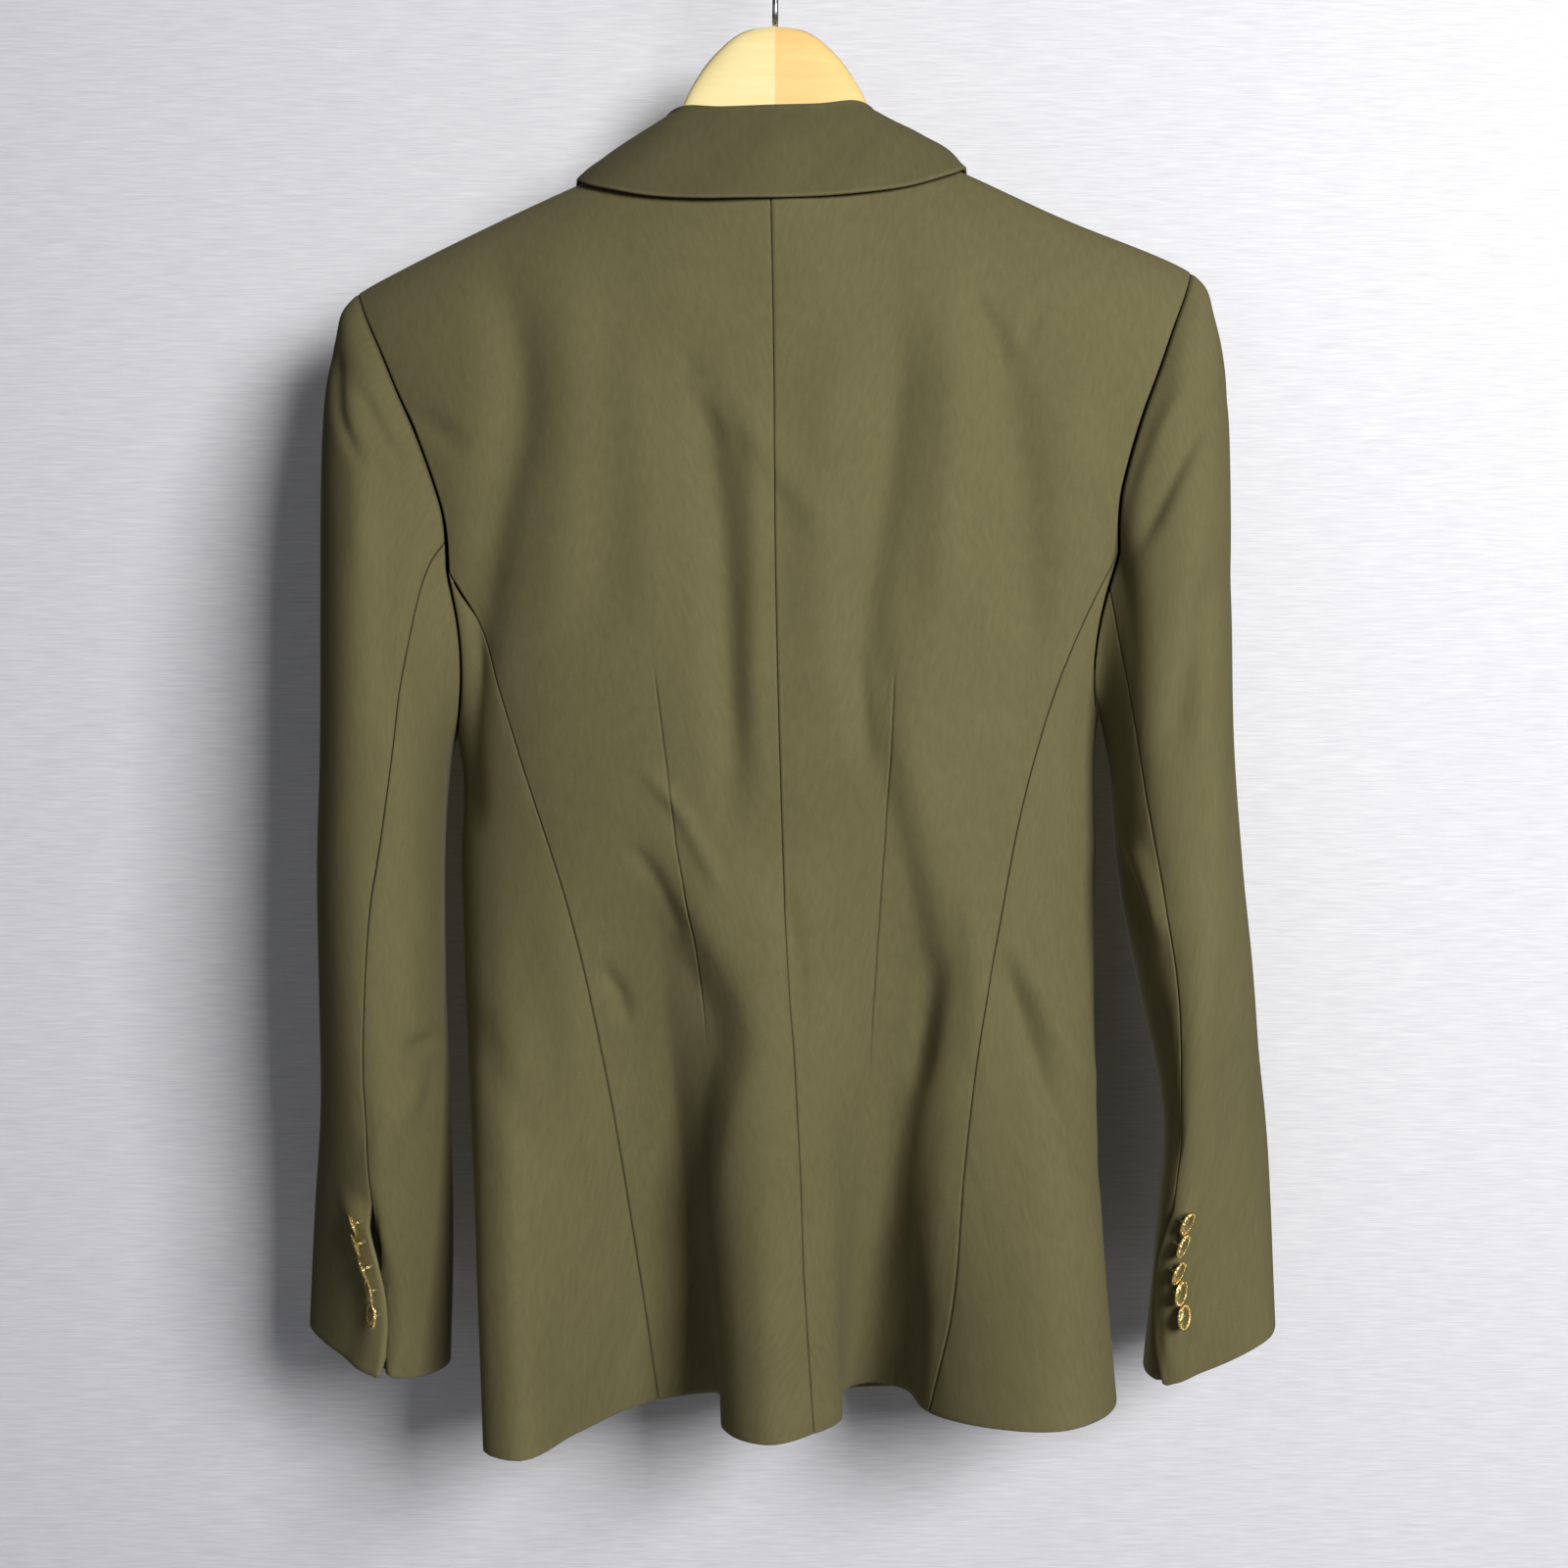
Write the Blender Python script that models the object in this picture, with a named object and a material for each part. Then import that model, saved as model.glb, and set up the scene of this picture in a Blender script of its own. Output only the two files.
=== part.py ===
"""A tailored double-breasted blazer that hangs on a wooden hanger.

Metres, +Z up.  The origin is the inside top of the hanger's hook.  The blazer's
back faces -Y, its fronts face +Y, and +X is the wearer's right.

The body is one surface, worked out from a few levels: a rounded plan at each level,
a soft roof that closes it along the shoulder line, and a wavy hem that the lower
cloth grows into.  Each cut piece of cloth is a wall between two lines on it.
The jacket is modelled upright and then leans a little, as it hangs on its hanger.
"""
import math
from collections import namedtuple

import bmesh
import bpy
import numpy as np
from mathutils import Matrix, Vector
from mathutils.bvhtree import BVHTree

# ---------------------------------------------------------------- driving sizes
CLOTH = 0.0016              # thickness of the body cloth
LAPEL_CLOTH = 0.0014        # thickness of the lapels
SEAM_GAP = 0.0003           # space between two pieces along a seam
LEAN = math.radians(1.775)  # the jacket hangs a little lower on the left
SLIDE_X = -0.0018           # and has slid this far over on its hanger
LEAN_PIVOT_Z = -0.155       # height of the neck, where it leans about

PLAN_POWER = 2.6            # roundness of the body's plan
ROOF_POWER = 2.4            # roundness from the chest to the shoulder line
CHEST_Z = -0.373            # the roof starts here, where the side panels end
ARMHOLE_BOTTOM_Z = -0.455
TIP_X = 0.224               # shoulder tip
SHOULDER_START_X = 0.085    # the shoulder line is straight up to here
SHOULDER_START_Z = -0.1552
SHOULDER_SLOPE = 0.40
SHOULDER_SAGS = {"left": 0.25, "right": 0.40}       # growth of its slope outward
RIGHT_DIP = 0.0035          # the right one also hangs through in its middle
NECK_X = 0.075              # where the shoulder line meets the neck
BACK_NECK_DROP = 0.021      # fall of the back neckline below the neck point
BACK_HEM_Z = -0.818
FRONT_HEM_DROP = 0.011      # the fronts are cut this much longer
FLUTE_TOP_Z = -0.490        # the hem's waves begin here
FLUTE_POWER = 1.5

BodyLevel = namedtuple("BodyLevel", "z half_width back_depth front_depth sway")
BODY_LEVELS = (
    BodyLevel(-0.835, 0.164, 0.062, 0.046, -0.002),
    BodyLevel(-0.730, 0.166, 0.062, 0.046, -0.008),
    BodyLevel(-0.620, 0.168, 0.063, 0.048, -0.010),
    BodyLevel(-0.530, 0.170, 0.067, 0.052, -0.008),
    BodyLevel(-0.455, 0.172, 0.071, 0.056, -0.006),
    BodyLevel(-0.400, 0.187, 0.072, 0.058, -0.005),
    BodyLevel(-0.335, 0.212, 0.072, 0.060, -0.003),
    BodyLevel(-0.240, 0.240, 0.071, 0.060, 0.000),
    BodyLevel(-0.120, 0.252, 0.070, 0.058, 0.000),
)

# The hem in plan, from the wearer's left side round to the right one.
HemPlace = namedtuple("HemPlace", "x y")
BACK_HEM = (
    HemPlace(-0.160, -0.004), HemPlace(-0.165, -0.040), HemPlace(-0.163, -0.074),
    HemPlace(-0.147, -0.084), HemPlace(-0.119, -0.045), HemPlace(-0.092, -0.008),
    HemPlace(-0.072, 0.005), HemPlace(-0.052, 0.009), HemPlace(-0.047, -0.020),
    HemPlace(-0.045, -0.050), HemPlace(-0.037, -0.064), HemPlace(-0.022, -0.073),
    HemPlace(0.002, -0.059), HemPlace(0.014, -0.045), HemPlace(0.017, -0.010),
    HemPlace(0.022, 0.012), HemPlace(0.035, 0.018), HemPlace(0.049, 0.008),
    HemPlace(0.062, -0.034), HemPlace(0.086, -0.056), HemPlace(0.128, -0.066),
    HemPlace(0.153, -0.046), HemPlace(0.163, -0.012), HemPlace(0.162, 0.000),
)
FRONT_HEM = (
    HemPlace(-0.160, -0.004), HemPlace(-0.153, 0.024), HemPlace(-0.128, 0.043),
    HemPlace(-0.098, 0.036), HemPlace(-0.066, 0.044), HemPlace(-0.030, 0.047),
    HemPlace(0.010, 0.047), HemPlace(0.050, 0.047), HemPlace(0.088, 0.038),
    HemPlace(0.120, 0.047), HemPlace(0.152, 0.030), HemPlace(0.162, 0.000),
)

# Lines that the body cloth is cut along, as x at each height.
CutPlace = namedtuple("CutPlace", "z x")
BACK_ARMHOLE = (
    CutPlace(-0.373, 0.1740), CutPlace(-0.356, 0.1735), CutPlace(-0.342, 0.1750),
    CutPlace(-0.329, 0.1785), CutPlace(-0.315, 0.1830), CutPlace(-0.300, 0.1885),
    CutPlace(-0.278, 0.198), CutPlace(-0.254, 0.208), CutPlace(-0.2365, 0.216),
    CutPlace(-0.2175, 0.224),
)
FRONT_ARMHOLE = (
    CutPlace(-0.373, 0.164), CutPlace(-0.345, 0.166), CutPlace(-0.315, 0.174),
    CutPlace(-0.285, 0.186), CutPlace(-0.254, 0.202), CutPlace(-0.2365, 0.213),
    CutPlace(-0.2175, 0.224),
)
CENTRE_BACK = (
    CutPlace(-0.835, 0.0025), CutPlace(-0.740, -0.001), CutPlace(-0.620, -0.0045),
    CutPlace(-0.500, -0.0055), CutPlace(-0.400, -0.005), CutPlace(-0.250, -0.002),
    CutPlace(-0.120, -0.001),
)
LEFT_PANEL_SEAM = (
    CutPlace(-0.835, -0.0800), CutPlace(-0.740, -0.0883), CutPlace(-0.620, -0.1025),
    CutPlace(-0.560, -0.1130), CutPlace(-0.480, -0.1360), CutPlace(-0.400, -0.1615),
    CutPlace(-0.373, -0.1740),
)
RIGHT_PANEL_SEAM = (
    CutPlace(-0.835, 0.0570), CutPlace(-0.740, 0.0785), CutPlace(-0.690, 0.0835),
    CutPlace(-0.620, 0.0930), CutPlace(-0.560, 0.1045), CutPlace(-0.480, 0.1250),
    CutPlace(-0.400, 0.1585), CutPlace(-0.373, 0.1740),
)
SIDE_FRONT_SEAM = (
    CutPlace(-0.835, 0.132), CutPlace(-0.620, 0.138), CutPlace(-0.480, 0.146),
    CutPlace(-0.373, 0.164),
)

# The fronts wrap over each other, wearer's right over left.
WRAP_X = 0.065              # how far each front reaches past the centre
BREAK_Z = -0.470            # the lapel's roll starts here, at the front edge
ROLL_TOP_X = 0.060
ROLL_TOP_Z = -0.176
WRAP_LIFT = 0.0046          # the outer front lies this far off the body surface
WRAP_FADE = (0.080, 0.135)  # and comes back to it between these widths
WRAP_RISE = (0.205, 0.290)  # and between these depths below the hook
LAPEL_LIFT = 0.0020         # outer face of a lapel above its front

LapelPlace = namedtuple("LapelPlace", "down x z")
LAPEL_EDGE = (              # outer edge of a lapel, from its peak to the break
    LapelPlace(0.00, 0.130, -0.198), LapelPlace(0.12, 0.124, -0.226),
    LapelPlace(0.35, 0.100, -0.290), LapelPlace(0.60, 0.058, -0.362),
    LapelPlace(0.82, 0.005, -0.425), LapelPlace(1.00, -0.056, -0.469),
)
LAPEL_NOTCH = (0.098, -0.207)       # x and z where the collar's end meets it
LAPEL_NOTCH_SHARE = 0.55            # that place's share of the lapel's top edge

# Half of the collar, from the centre back to its front end.
CollarPlace = namedtuple(
    "CollarPlace", "along base_x base_z roll_x roll_y roll_z edge_x edge_z bulge")
COLLAR_PLACES = (
    CollarPlace(0.00, 0.000, -0.1715, 0.000, -0.040, -0.1345, 0.000, -0.1870, 0.0030),
    CollarPlace(0.22, 0.028, -0.1690, 0.026, -0.037, -0.1335, 0.040, -0.1862, 0.0030),
    CollarPlace(0.42, 0.055, -0.1610, 0.047, -0.027, -0.1292, 0.076, -0.1815, 0.0035),
    CollarPlace(0.56, 0.072, -0.1520, 0.0555, -0.011, -0.1300, 0.099, -0.1700, 0.0040),
    CollarPlace(0.66, 0.075, -0.1505, 0.0585, 0.006, -0.1335, 0.105, -0.1620, 0.0045),
    CollarPlace(0.78, 0.072, -0.1560, 0.0620, 0.022, -0.1440, 0.106, -0.1740, 0.0070),
    CollarPlace(0.90, 0.066, -0.1655, 0.0630, 0.034, -0.1585, 0.103, -0.1900, 0.0070),
    CollarPlace(1.00, 0.063, -0.1705, 0.0620, 0.041, -0.1675, 0.097, -0.2040, 0.0050),
)

# Sleeves hang by themselves, so their levels are upright and not leaning.
SleeveLevel = namedtuple("SleeveLevel", "z x y half_width half_depth turn slant power")
LEFT_SLEEVE = (
    SleeveLevel(-0.790, 0.2140, 0.004, 0.0375, 0.048, 15, 0.33, 1.50),
    SleeveLevel(-0.720, 0.2105, -0.003, 0.0365, 0.055, 9, 0.20, 1.60),
    SleeveLevel(-0.660, 0.2085, -0.008, 0.0340, 0.060, 7, 0.08, 1.80),
    SleeveLevel(-0.600, 0.2095, -0.010, 0.0330, 0.064, 8, 0.00, 2.05),
    SleeveLevel(-0.530, 0.2115, -0.006, 0.0330, 0.068, 9, 0.00, 2.25),
    SleeveLevel(-0.470, 0.2120, -0.001, 0.0320, 0.071, 9, 0.00, 2.40),
    SleeveLevel(-0.400, 0.2120, 0.000, 0.0320, 0.071, 9, 0.00, 2.40),
    SleeveLevel(-0.280, 0.2120, 0.000, 0.0325, 0.066, 9, 0.00, 2.40),
    SleeveLevel(-0.200, 0.2120, 0.000, 0.0320, 0.060, 9, 0.00, 2.40),
)
RIGHT_SLEEVE = (
    SleeveLevel(-0.790, 0.2355, 0.004, 0.0355, 0.047, 40, 0.33, 1.55),
    SleeveLevel(-0.720, 0.2365, -0.003, 0.0265, 0.055, 36, 0.20, 1.65),
    SleeveLevel(-0.660, 0.2355, -0.008, 0.0235, 0.060, 27, 0.08, 1.85),
    SleeveLevel(-0.600, 0.2262, -0.010, 0.0300, 0.064, 15, 0.00, 2.05),
    SleeveLevel(-0.530, 0.2172, -0.006, 0.0330, 0.068, 12, 0.00, 2.25),
    SleeveLevel(-0.470, 0.2150, -0.001, 0.0320, 0.071, 12, 0.00, 2.40),
    SleeveLevel(-0.400, 0.2140, 0.000, 0.0320, 0.071, 12, 0.00, 2.40),
    SleeveLevel(-0.280, 0.2130, 0.000, 0.0325, 0.066, 12, 0.00, 2.40),
    SleeveLevel(-0.200, 0.2130, 0.000, 0.0320, 0.060, 12, 0.00, 2.40),
)
CUFF_Z = -0.790
ARMHOLE_STEP = 0.0008       # the sleeve starts this far out from the body's edge
CAP_EASE = 0.028            # depth over which the sleeve leaves the armhole
FRONT_SLEEVE_SEAM = 236     # degrees round from the outer side, over the back

# The back seam of each sleeve, in degrees round from the outer side.
SeamTurn = namedtuple("SeamTurn", "z degrees")
LEFT_SLEEVE_SEAM = (
    SeamTurn(-0.790, 79), SeamTurn(-0.757, 81), SeamTurn(-0.725, 82), SeamTurn(-0.700, 82),
    SeamTurn(-0.681, 81), SeamTurn(-0.634, 78), SeamTurn(-0.596, 81), SeamTurn(-0.549, 87),
    SeamTurn(-0.517, 93), SeamTurn(-0.473, 101), SeamTurn(-0.444, 106), SeamTurn(-0.408, 110),
    SeamTurn(-0.373, 107),
)
RIGHT_SLEEVE_SEAM = (
    SeamTurn(-0.790, 89), SeamTurn(-0.762, 90), SeamTurn(-0.744, 93), SeamTurn(-0.724, 98),
    SeamTurn(-0.705, 95), SeamTurn(-0.683, 95), SeamTurn(-0.655, 99), SeamTurn(-0.604, 102),
    SeamTurn(-0.571, 103), SeamTurn(-0.539, 104), SeamTurn(-0.485, 115), SeamTurn(-0.437, 128),
    SeamTurn(-0.406, 132), SeamTurn(-0.373, 129),
)
SEAM_TURN_GAP = 0.4         # half a sleeve seam's gap, in degrees
VENT_TOP_Z = -0.700         # the cuff opens below here
VENT_LIFT = 0.0030          # the upper sleeve's edge stands off the under one this far
VENT_RISE = 0.012           # height over which it lifts
VENT_BLEND = 36             # degrees over which it lifts

VentPlace = namedtuple("VentPlace", "z lap")
VENT_LAP = (                # degrees that the upper sleeve laps the under one
    VentPlace(-0.790, 4.0), VentPlace(-0.775, 12.0), VentPlace(-0.755, 15.0),
    VentPlace(-0.735, 11.0), VentPlace(-0.725, 6.0), VentPlace(-0.712, 0.0),
    VentPlace(-0.700, 0.0),
)

# Cuff buttons flop on their shanks: degrees each faces out to the side, and up.
CuffButton = namedtuple("CuffButton", "z inset turn_out tip_up")
CUFF_BUTTONS = {
    "left": (
        CuffButton(-0.7083, 0.0012, 76, 20), CuffButton(-0.7186, 0.0015, 72, 20),
        CuffButton(-0.7303, 0.0014, 72, 20), CuffButton(-0.7420, 0.0018, 66, 18),
        CuffButton(-0.7550, 0.0022, 60, 12)),
    "right": (
        CuffButton(-0.7080, 0.0055, 54, 18), CuffButton(-0.7191, 0.0070, 58, 20),
        CuffButton(-0.7330, 0.0090, 56, 20), CuffButton(-0.7443, 0.0100, 54, 18),
        CuffButton(-0.7570, 0.0105, 52, 12)),
}
FRONT_BUTTON_Z = (-0.488, -0.580, -0.672)
FRONT_BUTTON_X = 0.048
CUFF_BUTTON_RADIUS = 0.0066
FRONT_BUTTON_RADIUS = 0.0110

HOOK_WIRE_RADIUS = 0.0018
HOOK_RADIUS = 0.021         # of the wire's centre line
WOOD_TOP_Z = -0.0775
WoodPlace = namedtuple("WoodPlace", "x top bottom half_thick")
WOOD_DOME = (               # upright: the dome and neck of the hanger
    WoodPlace(0.0002, -0.0775, -0.172, 0.0070), WoodPlace(0.0127, -0.0786, -0.173, 0.0070),
    WoodPlace(0.0220, -0.0823, -0.175, 0.0070), WoodPlace(0.0337, -0.0934, -0.178, 0.0070),
    WoodPlace(0.0425, -0.1045, -0.181, 0.0070), WoodPlace(0.0503, -0.1185, -0.184, 0.0070),
    WoodPlace(0.0525, -0.1300, -0.186, 0.0070), WoodPlace(0.0535, -0.1420, -0.187, 0.0070),
    WoodPlace(0.0550, -0.1510, -0.189, 0.0072), WoodPlace(0.0590, -0.1565, -0.190, 0.0074),
)
WOOD_ARM_START_X = 0.068
WOOD_ARM_TOP_Z = -0.1560    # no higher than this, under the foot of the collar
WOOD_CLEAR = 0.0012         # between an arm and the cloth that rests on it
WOOD_POWER = 2.2
WOOD_RING = 16
WOOD_ARM_END_X = 0.206
WOOD_ARM_DEPTHS = (0.036, 0.024)        # height of an arm at its start and end
WOOD_ARM_HALVES = (0.0075, 0.0120)      # half its thickness there
WOOD_ARM_STEPS = 7

# ---------------------------------------------------------------- finishes
OLIVE = (0.158, 0.141, 0.067, 1.0)
OLIVE_SIDE = (0.145, 0.129, 0.061, 1.0)
OLIVE_COLLAR = (0.168, 0.150, 0.072, 1.0)
GOLD = (0.620, 0.430, 0.150, 1.0)
WOOD_PALE = (0.850, 0.660, 0.330, 1.0)
WOOD_DEEP = (0.800, 0.560, 0.250, 1.0)
STEEL = (0.560, 0.560, 0.570, 1.0)

SIDES = {"left": -1, "right": 1}


# ---------------------------------------------------------------- small tools
class Track:
    """A smooth curve through a short table: a value, or several, for each place."""

    def __init__(self, places, values):
        order = np.argsort(places)
        self.places = np.asarray(places, float)[order]
        self.values = np.asarray(values, float)[order]
        self.slopes = np.gradient(self.values, self.places, axis=0)

    def __call__(self, place):
        place = float(np.clip(place, self.places[0], self.places[-1]))
        i = int(np.clip(np.searchsorted(self.places, place) - 1, 0, len(self.places) - 2))
        span = self.places[i + 1] - self.places[i]
        t = (place - self.places[i]) / span
        start, end = self.values[i], self.values[i + 1]
        lead, tail = self.slopes[i] * span, self.slopes[i + 1] * span
        return ((2 * t**3 - 3 * t**2 + 1) * start + (t**3 - 2 * t**2 + t) * lead
                + (3 * t**2 - 2 * t**3) * end + (t**3 - t**2) * tail)


def cut_track(rows):
    return Track([row.z for row in rows], [row.x for row in rows])


def smooth_step(value, low, high):
    t = min(max((value - low) / (high - low), 0.0), 1.0)
    return t * t * (3 - 2 * t)


def lengths_along(points):
    steps = np.linalg.norm(np.diff(points, axis=0), axis=1)
    return np.concatenate([[0.0], np.cumsum(steps)])


def along(points, share):
    """The point at a share of a polyline's length, or points at several shares."""
    run = lengths_along(points)
    wanted = np.asarray(share) * run[-1]
    return np.stack([np.interp(wanted, run, points[:, k]) for k in range(points.shape[1])], -1)


def smooth_path(rows, steps=16):
    """A dense smooth path through the places of a table."""
    points = np.array([tuple(row) for row in rows])
    track = Track(lengths_along(points), points)
    return np.array([track(s) for s in np.linspace(0, track.places[-1], steps * len(rows))])


def unit(vector):
    return vector / np.linalg.norm(vector)


def hang(point):
    """Lean a point of the upright jacket as the hanger tilts it."""
    x, y, z = point
    up = z - LEAN_PIVOT_Z
    return np.array([SLIDE_X + x * math.cos(LEAN) - up * math.sin(LEAN), y,
                     LEAN_PIVOT_Z + x * math.sin(LEAN) + up * math.cos(LEAN)])


def surface_normal(surface, a, b, step_a=0.002, step_b=0.002):
    """Normal of a surface given by two numbers, from its own neighbouring points."""
    across = surface(a + step_a, b) - surface(a - step_a, b)
    down = surface(a, b - step_b) - surface(a, b + step_b)
    return unit(np.cross(down, across))


# ---------------------------------------------------------------- body surface
body_level = Track([row.z for row in BODY_LEVELS], [tuple(row)[1:] for row in BODY_LEVELS])
HEM_PATH = {"back": smooth_path(BACK_HEM), "front": smooth_path(FRONT_HEM)}


def shoulder_z(x):
    """Height of the shoulder line, which sags a little toward its tip."""
    side = "left" if x < 0 else "right"
    reach = abs(x) - SHOULDER_START_X
    height = SHOULDER_START_Z - reach * (SHOULDER_SLOPE + SHOULDER_SAGS[side] * abs(reach))
    if side == "right":
        share = min(max(reach / (TIP_X - SHOULDER_START_X), 0.0), 1.0)
        height -= RIGHT_DIP * math.sin(math.pi * share) ** 2
    return height


def neckline_z(face, x):
    """Height of the neck edge between the neck points."""
    share = min(abs(x) / NECK_X, 1.0)
    if face == "back":
        return shoulder_z(NECK_X) - BACK_NECK_DROP * (1 - share**2.4)
    drop = (shoulder_z(NECK_X) - ROLL_TOP_Z) / (NECK_X - ROLL_TOP_X)
    return shoulder_z(NECK_X) - drop * (NECK_X - abs(x))


def face_y(face, x, z):
    """Outer face of the back or front cloth above the flutes."""
    half_width, back_depth, front_depth, sway = body_level(z)
    across = min(abs(x - sway) / half_width, 1.0)
    plan = (1 - across**PLAN_POWER) ** (1 / PLAN_POWER)
    roof = 1.0
    if z > CHEST_Z:
        rise = min((z - CHEST_Z) / (shoulder_z(x) - CHEST_Z), 1.0)
        roof = (1 - rise**ROOF_POWER) ** (1 / ROOF_POWER)
    return (-back_depth if face == "back" else front_depth) * plan * roof


def face_point(face, x, z):
    return np.array([x, face_y(face, x, z), z])


def plan_ring(face, z):
    """Half of the body's plan at a height, from the left side to the right."""
    half_width, back_depth, front_depth, sway = body_level(z)
    turn = np.linspace(0, math.pi, 241)
    x = -np.sign(np.cos(turn)) * np.abs(np.cos(turn)) ** (2 / PLAN_POWER) * half_width + sway
    depth = -back_depth if face == "back" else front_depth
    return np.stack([x, depth * np.abs(np.sin(turn)) ** (2 / PLAN_POWER)], -1)


def flute_growth(z):
    reach = max(FLUTE_TOP_Z - z, 0.0) / (FLUTE_TOP_Z - BACK_HEM_Z)
    return min(reach, 1.0) ** FLUTE_POWER


def drape_row(face, shares, z):
    """Plan points of the lower body at a height, at shares of the half plan."""
    ring = along(plan_ring(face, z), shares)
    grow = flute_growth(z)
    if not grow:
        return ring
    flat_hem = along(plan_ring(face, BACK_HEM_Z), shares)
    return ring + grow * (along(HEM_PATH[face], shares) - flat_hem)


def drape_point(face, share, z):
    """A point of the lower body; a share past either end runs round on to the other face."""
    if share < 0 or share > 1:
        other = "front" if face == "back" else "back"
        over = -share if share < 0 else share - 1
        run = over * half_length(face, z) / half_length(other, z)
        face, share = other, run if share < 0 else 1 - run
    return np.array([*drape_row(face, share, z), z])


def half_length(face, z):
    return lengths_along(plan_ring(face, z))[-1]


def hem_z(face, share):
    if face == "back":
        return BACK_HEM_Z
    return BACK_HEM_Z - FRONT_HEM_DROP * smooth_step(min(share, 1 - share), 0.0, 0.16)


def cut_share_track(face, cut):
    """Where a cut line lies on the half plan, as a share, at each height."""
    shares = np.linspace(0, 1, 801)
    levels = np.linspace(CHEST_Z, BACK_HEM_Z - FRONT_HEM_DROP, 40)
    found = []
    for z in levels:
        across = drape_row(face, shares, z)[:, 0] - cut(z)
        crossings = np.nonzero(np.diff(np.sign(across)))[0]
        places = [shares[i] - across[i] * (shares[i + 1] - shares[i]) / (across[i + 1] - across[i])
                  for i in crossings]
        places = places or [shares[np.argmin(np.abs(across))]]
        found.append(min(places, key=lambda s: abs(s - (found[-1] if found else s))))
    return Track(levels, found)


centre_back = cut_track(CENTRE_BACK)
side_front = cut_track(SIDE_FRONT_SEAM)
back_armhole = cut_track(BACK_ARMHOLE)
front_armhole = cut_track(FRONT_ARMHOLE)
CENTRE_SHARE = cut_share_track("back", centre_back)
PANEL_SHARE = {"left": cut_share_track("back", cut_track(LEFT_PANEL_SEAM)),
               "right": cut_share_track("back", cut_track(RIGHT_PANEL_SEAM))}
SIDE_SHARE = {"left": cut_share_track("front", lambda z: -side_front(z)),
              "right": cut_share_track("front", side_front)}

UPPER_ROWS = 9
LOWER_ROWS = 15
UPPER_RISE = [math.sin(0.5 * math.pi * (1 - k / UPPER_ROWS)) ** (2 / ROOF_POWER)
              for k in range(UPPER_ROWS)]
LOWER_FALL = [(k / LOWER_ROWS) ** 0.92 for k in range(LOWER_ROWS + 1)]


# ---------------------------------------------------------------- making solids
def new_material(name, colour, roughness, metallic=0.0):
    material = bpy.data.materials.new(name)
    material.use_nodes = True
    shader = material.node_tree.nodes["Principled BSDF"]
    shader.inputs["Base Color"].default_value = colour
    shader.inputs["Roughness"].default_value = roughness
    shader.inputs["Metallic"].default_value = metallic
    return material


def add_object(name, shape, material, smooth=True):
    """Put a finished bmesh in the scene as a named object."""
    mesh = bpy.data.meshes.new(name)
    bmesh.ops.recalc_face_normals(shape, faces=shape.faces)
    shape.to_mesh(mesh)
    shape.free()
    if smooth:
        mesh.shade_smooth()
        mesh.set_sharp_from_angle(angle=math.radians(40))
    mesh.materials.append(material)
    made = bpy.data.objects.new(name, mesh)
    bpy.context.collection.objects.link(made)
    return made


def wall_from_grid(name, points, normals, material, wall=CLOTH, round_trip=False):
    """A cloth wall: the outer face is the grid, the inner face lies a wall inside it.

    A round trip joins the last column to the first, for a closed tube.
    """
    shape = bmesh.new()
    rows, columns = len(points), len(points[0])
    outer = [[shape.verts.new(p) for p in row] for row in points]
    inner = [[shape.verts.new(p - wall * n) for p, n in zip(row, line)]
             for row, line in zip(points, normals)]
    last = columns if round_trip else columns - 1
    for i in range(rows - 1):
        for j in range(last):
            k = (j + 1) % columns
            shape.faces.new((outer[i][j], outer[i][k], outer[i + 1][k], outer[i + 1][j]))
            shape.faces.new((inner[i][j], inner[i + 1][j], inner[i + 1][k], inner[i][k]))
    for j in range(last):
        k = (j + 1) % columns
        shape.faces.new((outer[0][k], outer[0][j], inner[0][j], inner[0][k]))
        shape.faces.new((outer[-1][j], outer[-1][k], inner[-1][k], inner[-1][j]))
    if not round_trip:
        for i in range(rows - 1):
            shape.faces.new((outer[i][0], outer[i + 1][0], inner[i + 1][0], inner[i][0]))
            shape.faces.new((outer[i + 1][-1], outer[i][-1], inner[i][-1], inner[i + 1][-1]))
    return add_object(name, shape, material)


def hung_grid(points):
    return [[hang(p) for p in row] for row in points]


def hung_normals(normals):
    pivot = hang((0.0, 0.0, 0.0))
    return [[hang(n) - pivot for n in row] for row in normals]


# ---------------------------------------------------------------- body panels
def face_normal(face, x, z, ridge=False):
    """Outward normal above the chest; along the shoulder line it points straight up."""
    if ridge:
        slope = (shoulder_z(x + 0.001) - shoulder_z(x - 0.001)) / 0.002
        return unit(np.array([-slope, 0.0, 1.0]))
    z = min(z, shoulder_z(x) - 0.003)
    normal = surface_normal(lambda a, b: face_point(face, a, b), x, z, 0.001, 0.001)
    return normal if (normal[1] < 0) == (face == "back") else -normal


def drape_normal(face, share, z):
    normal = surface_normal(lambda a, b: drape_point(face, a, b), share, z)
    return normal if face == "back" else -normal


def column_shares(face, side, inner_x, outer_x, spread, inner_share, outer_share):
    """Turn the columns' spacing across the chest into shares of the plan there."""
    shares = np.linspace(0, 1, 801)
    across = drape_row(face, shares, CHEST_Z)[:, 0]
    wanted = [inner_x + s * (outer_x - inner_x) for s in spread]
    places = np.interp(wanted, across, shares)
    return [(p - inner_share) / (outer_share - inner_share) for p in places]


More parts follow.
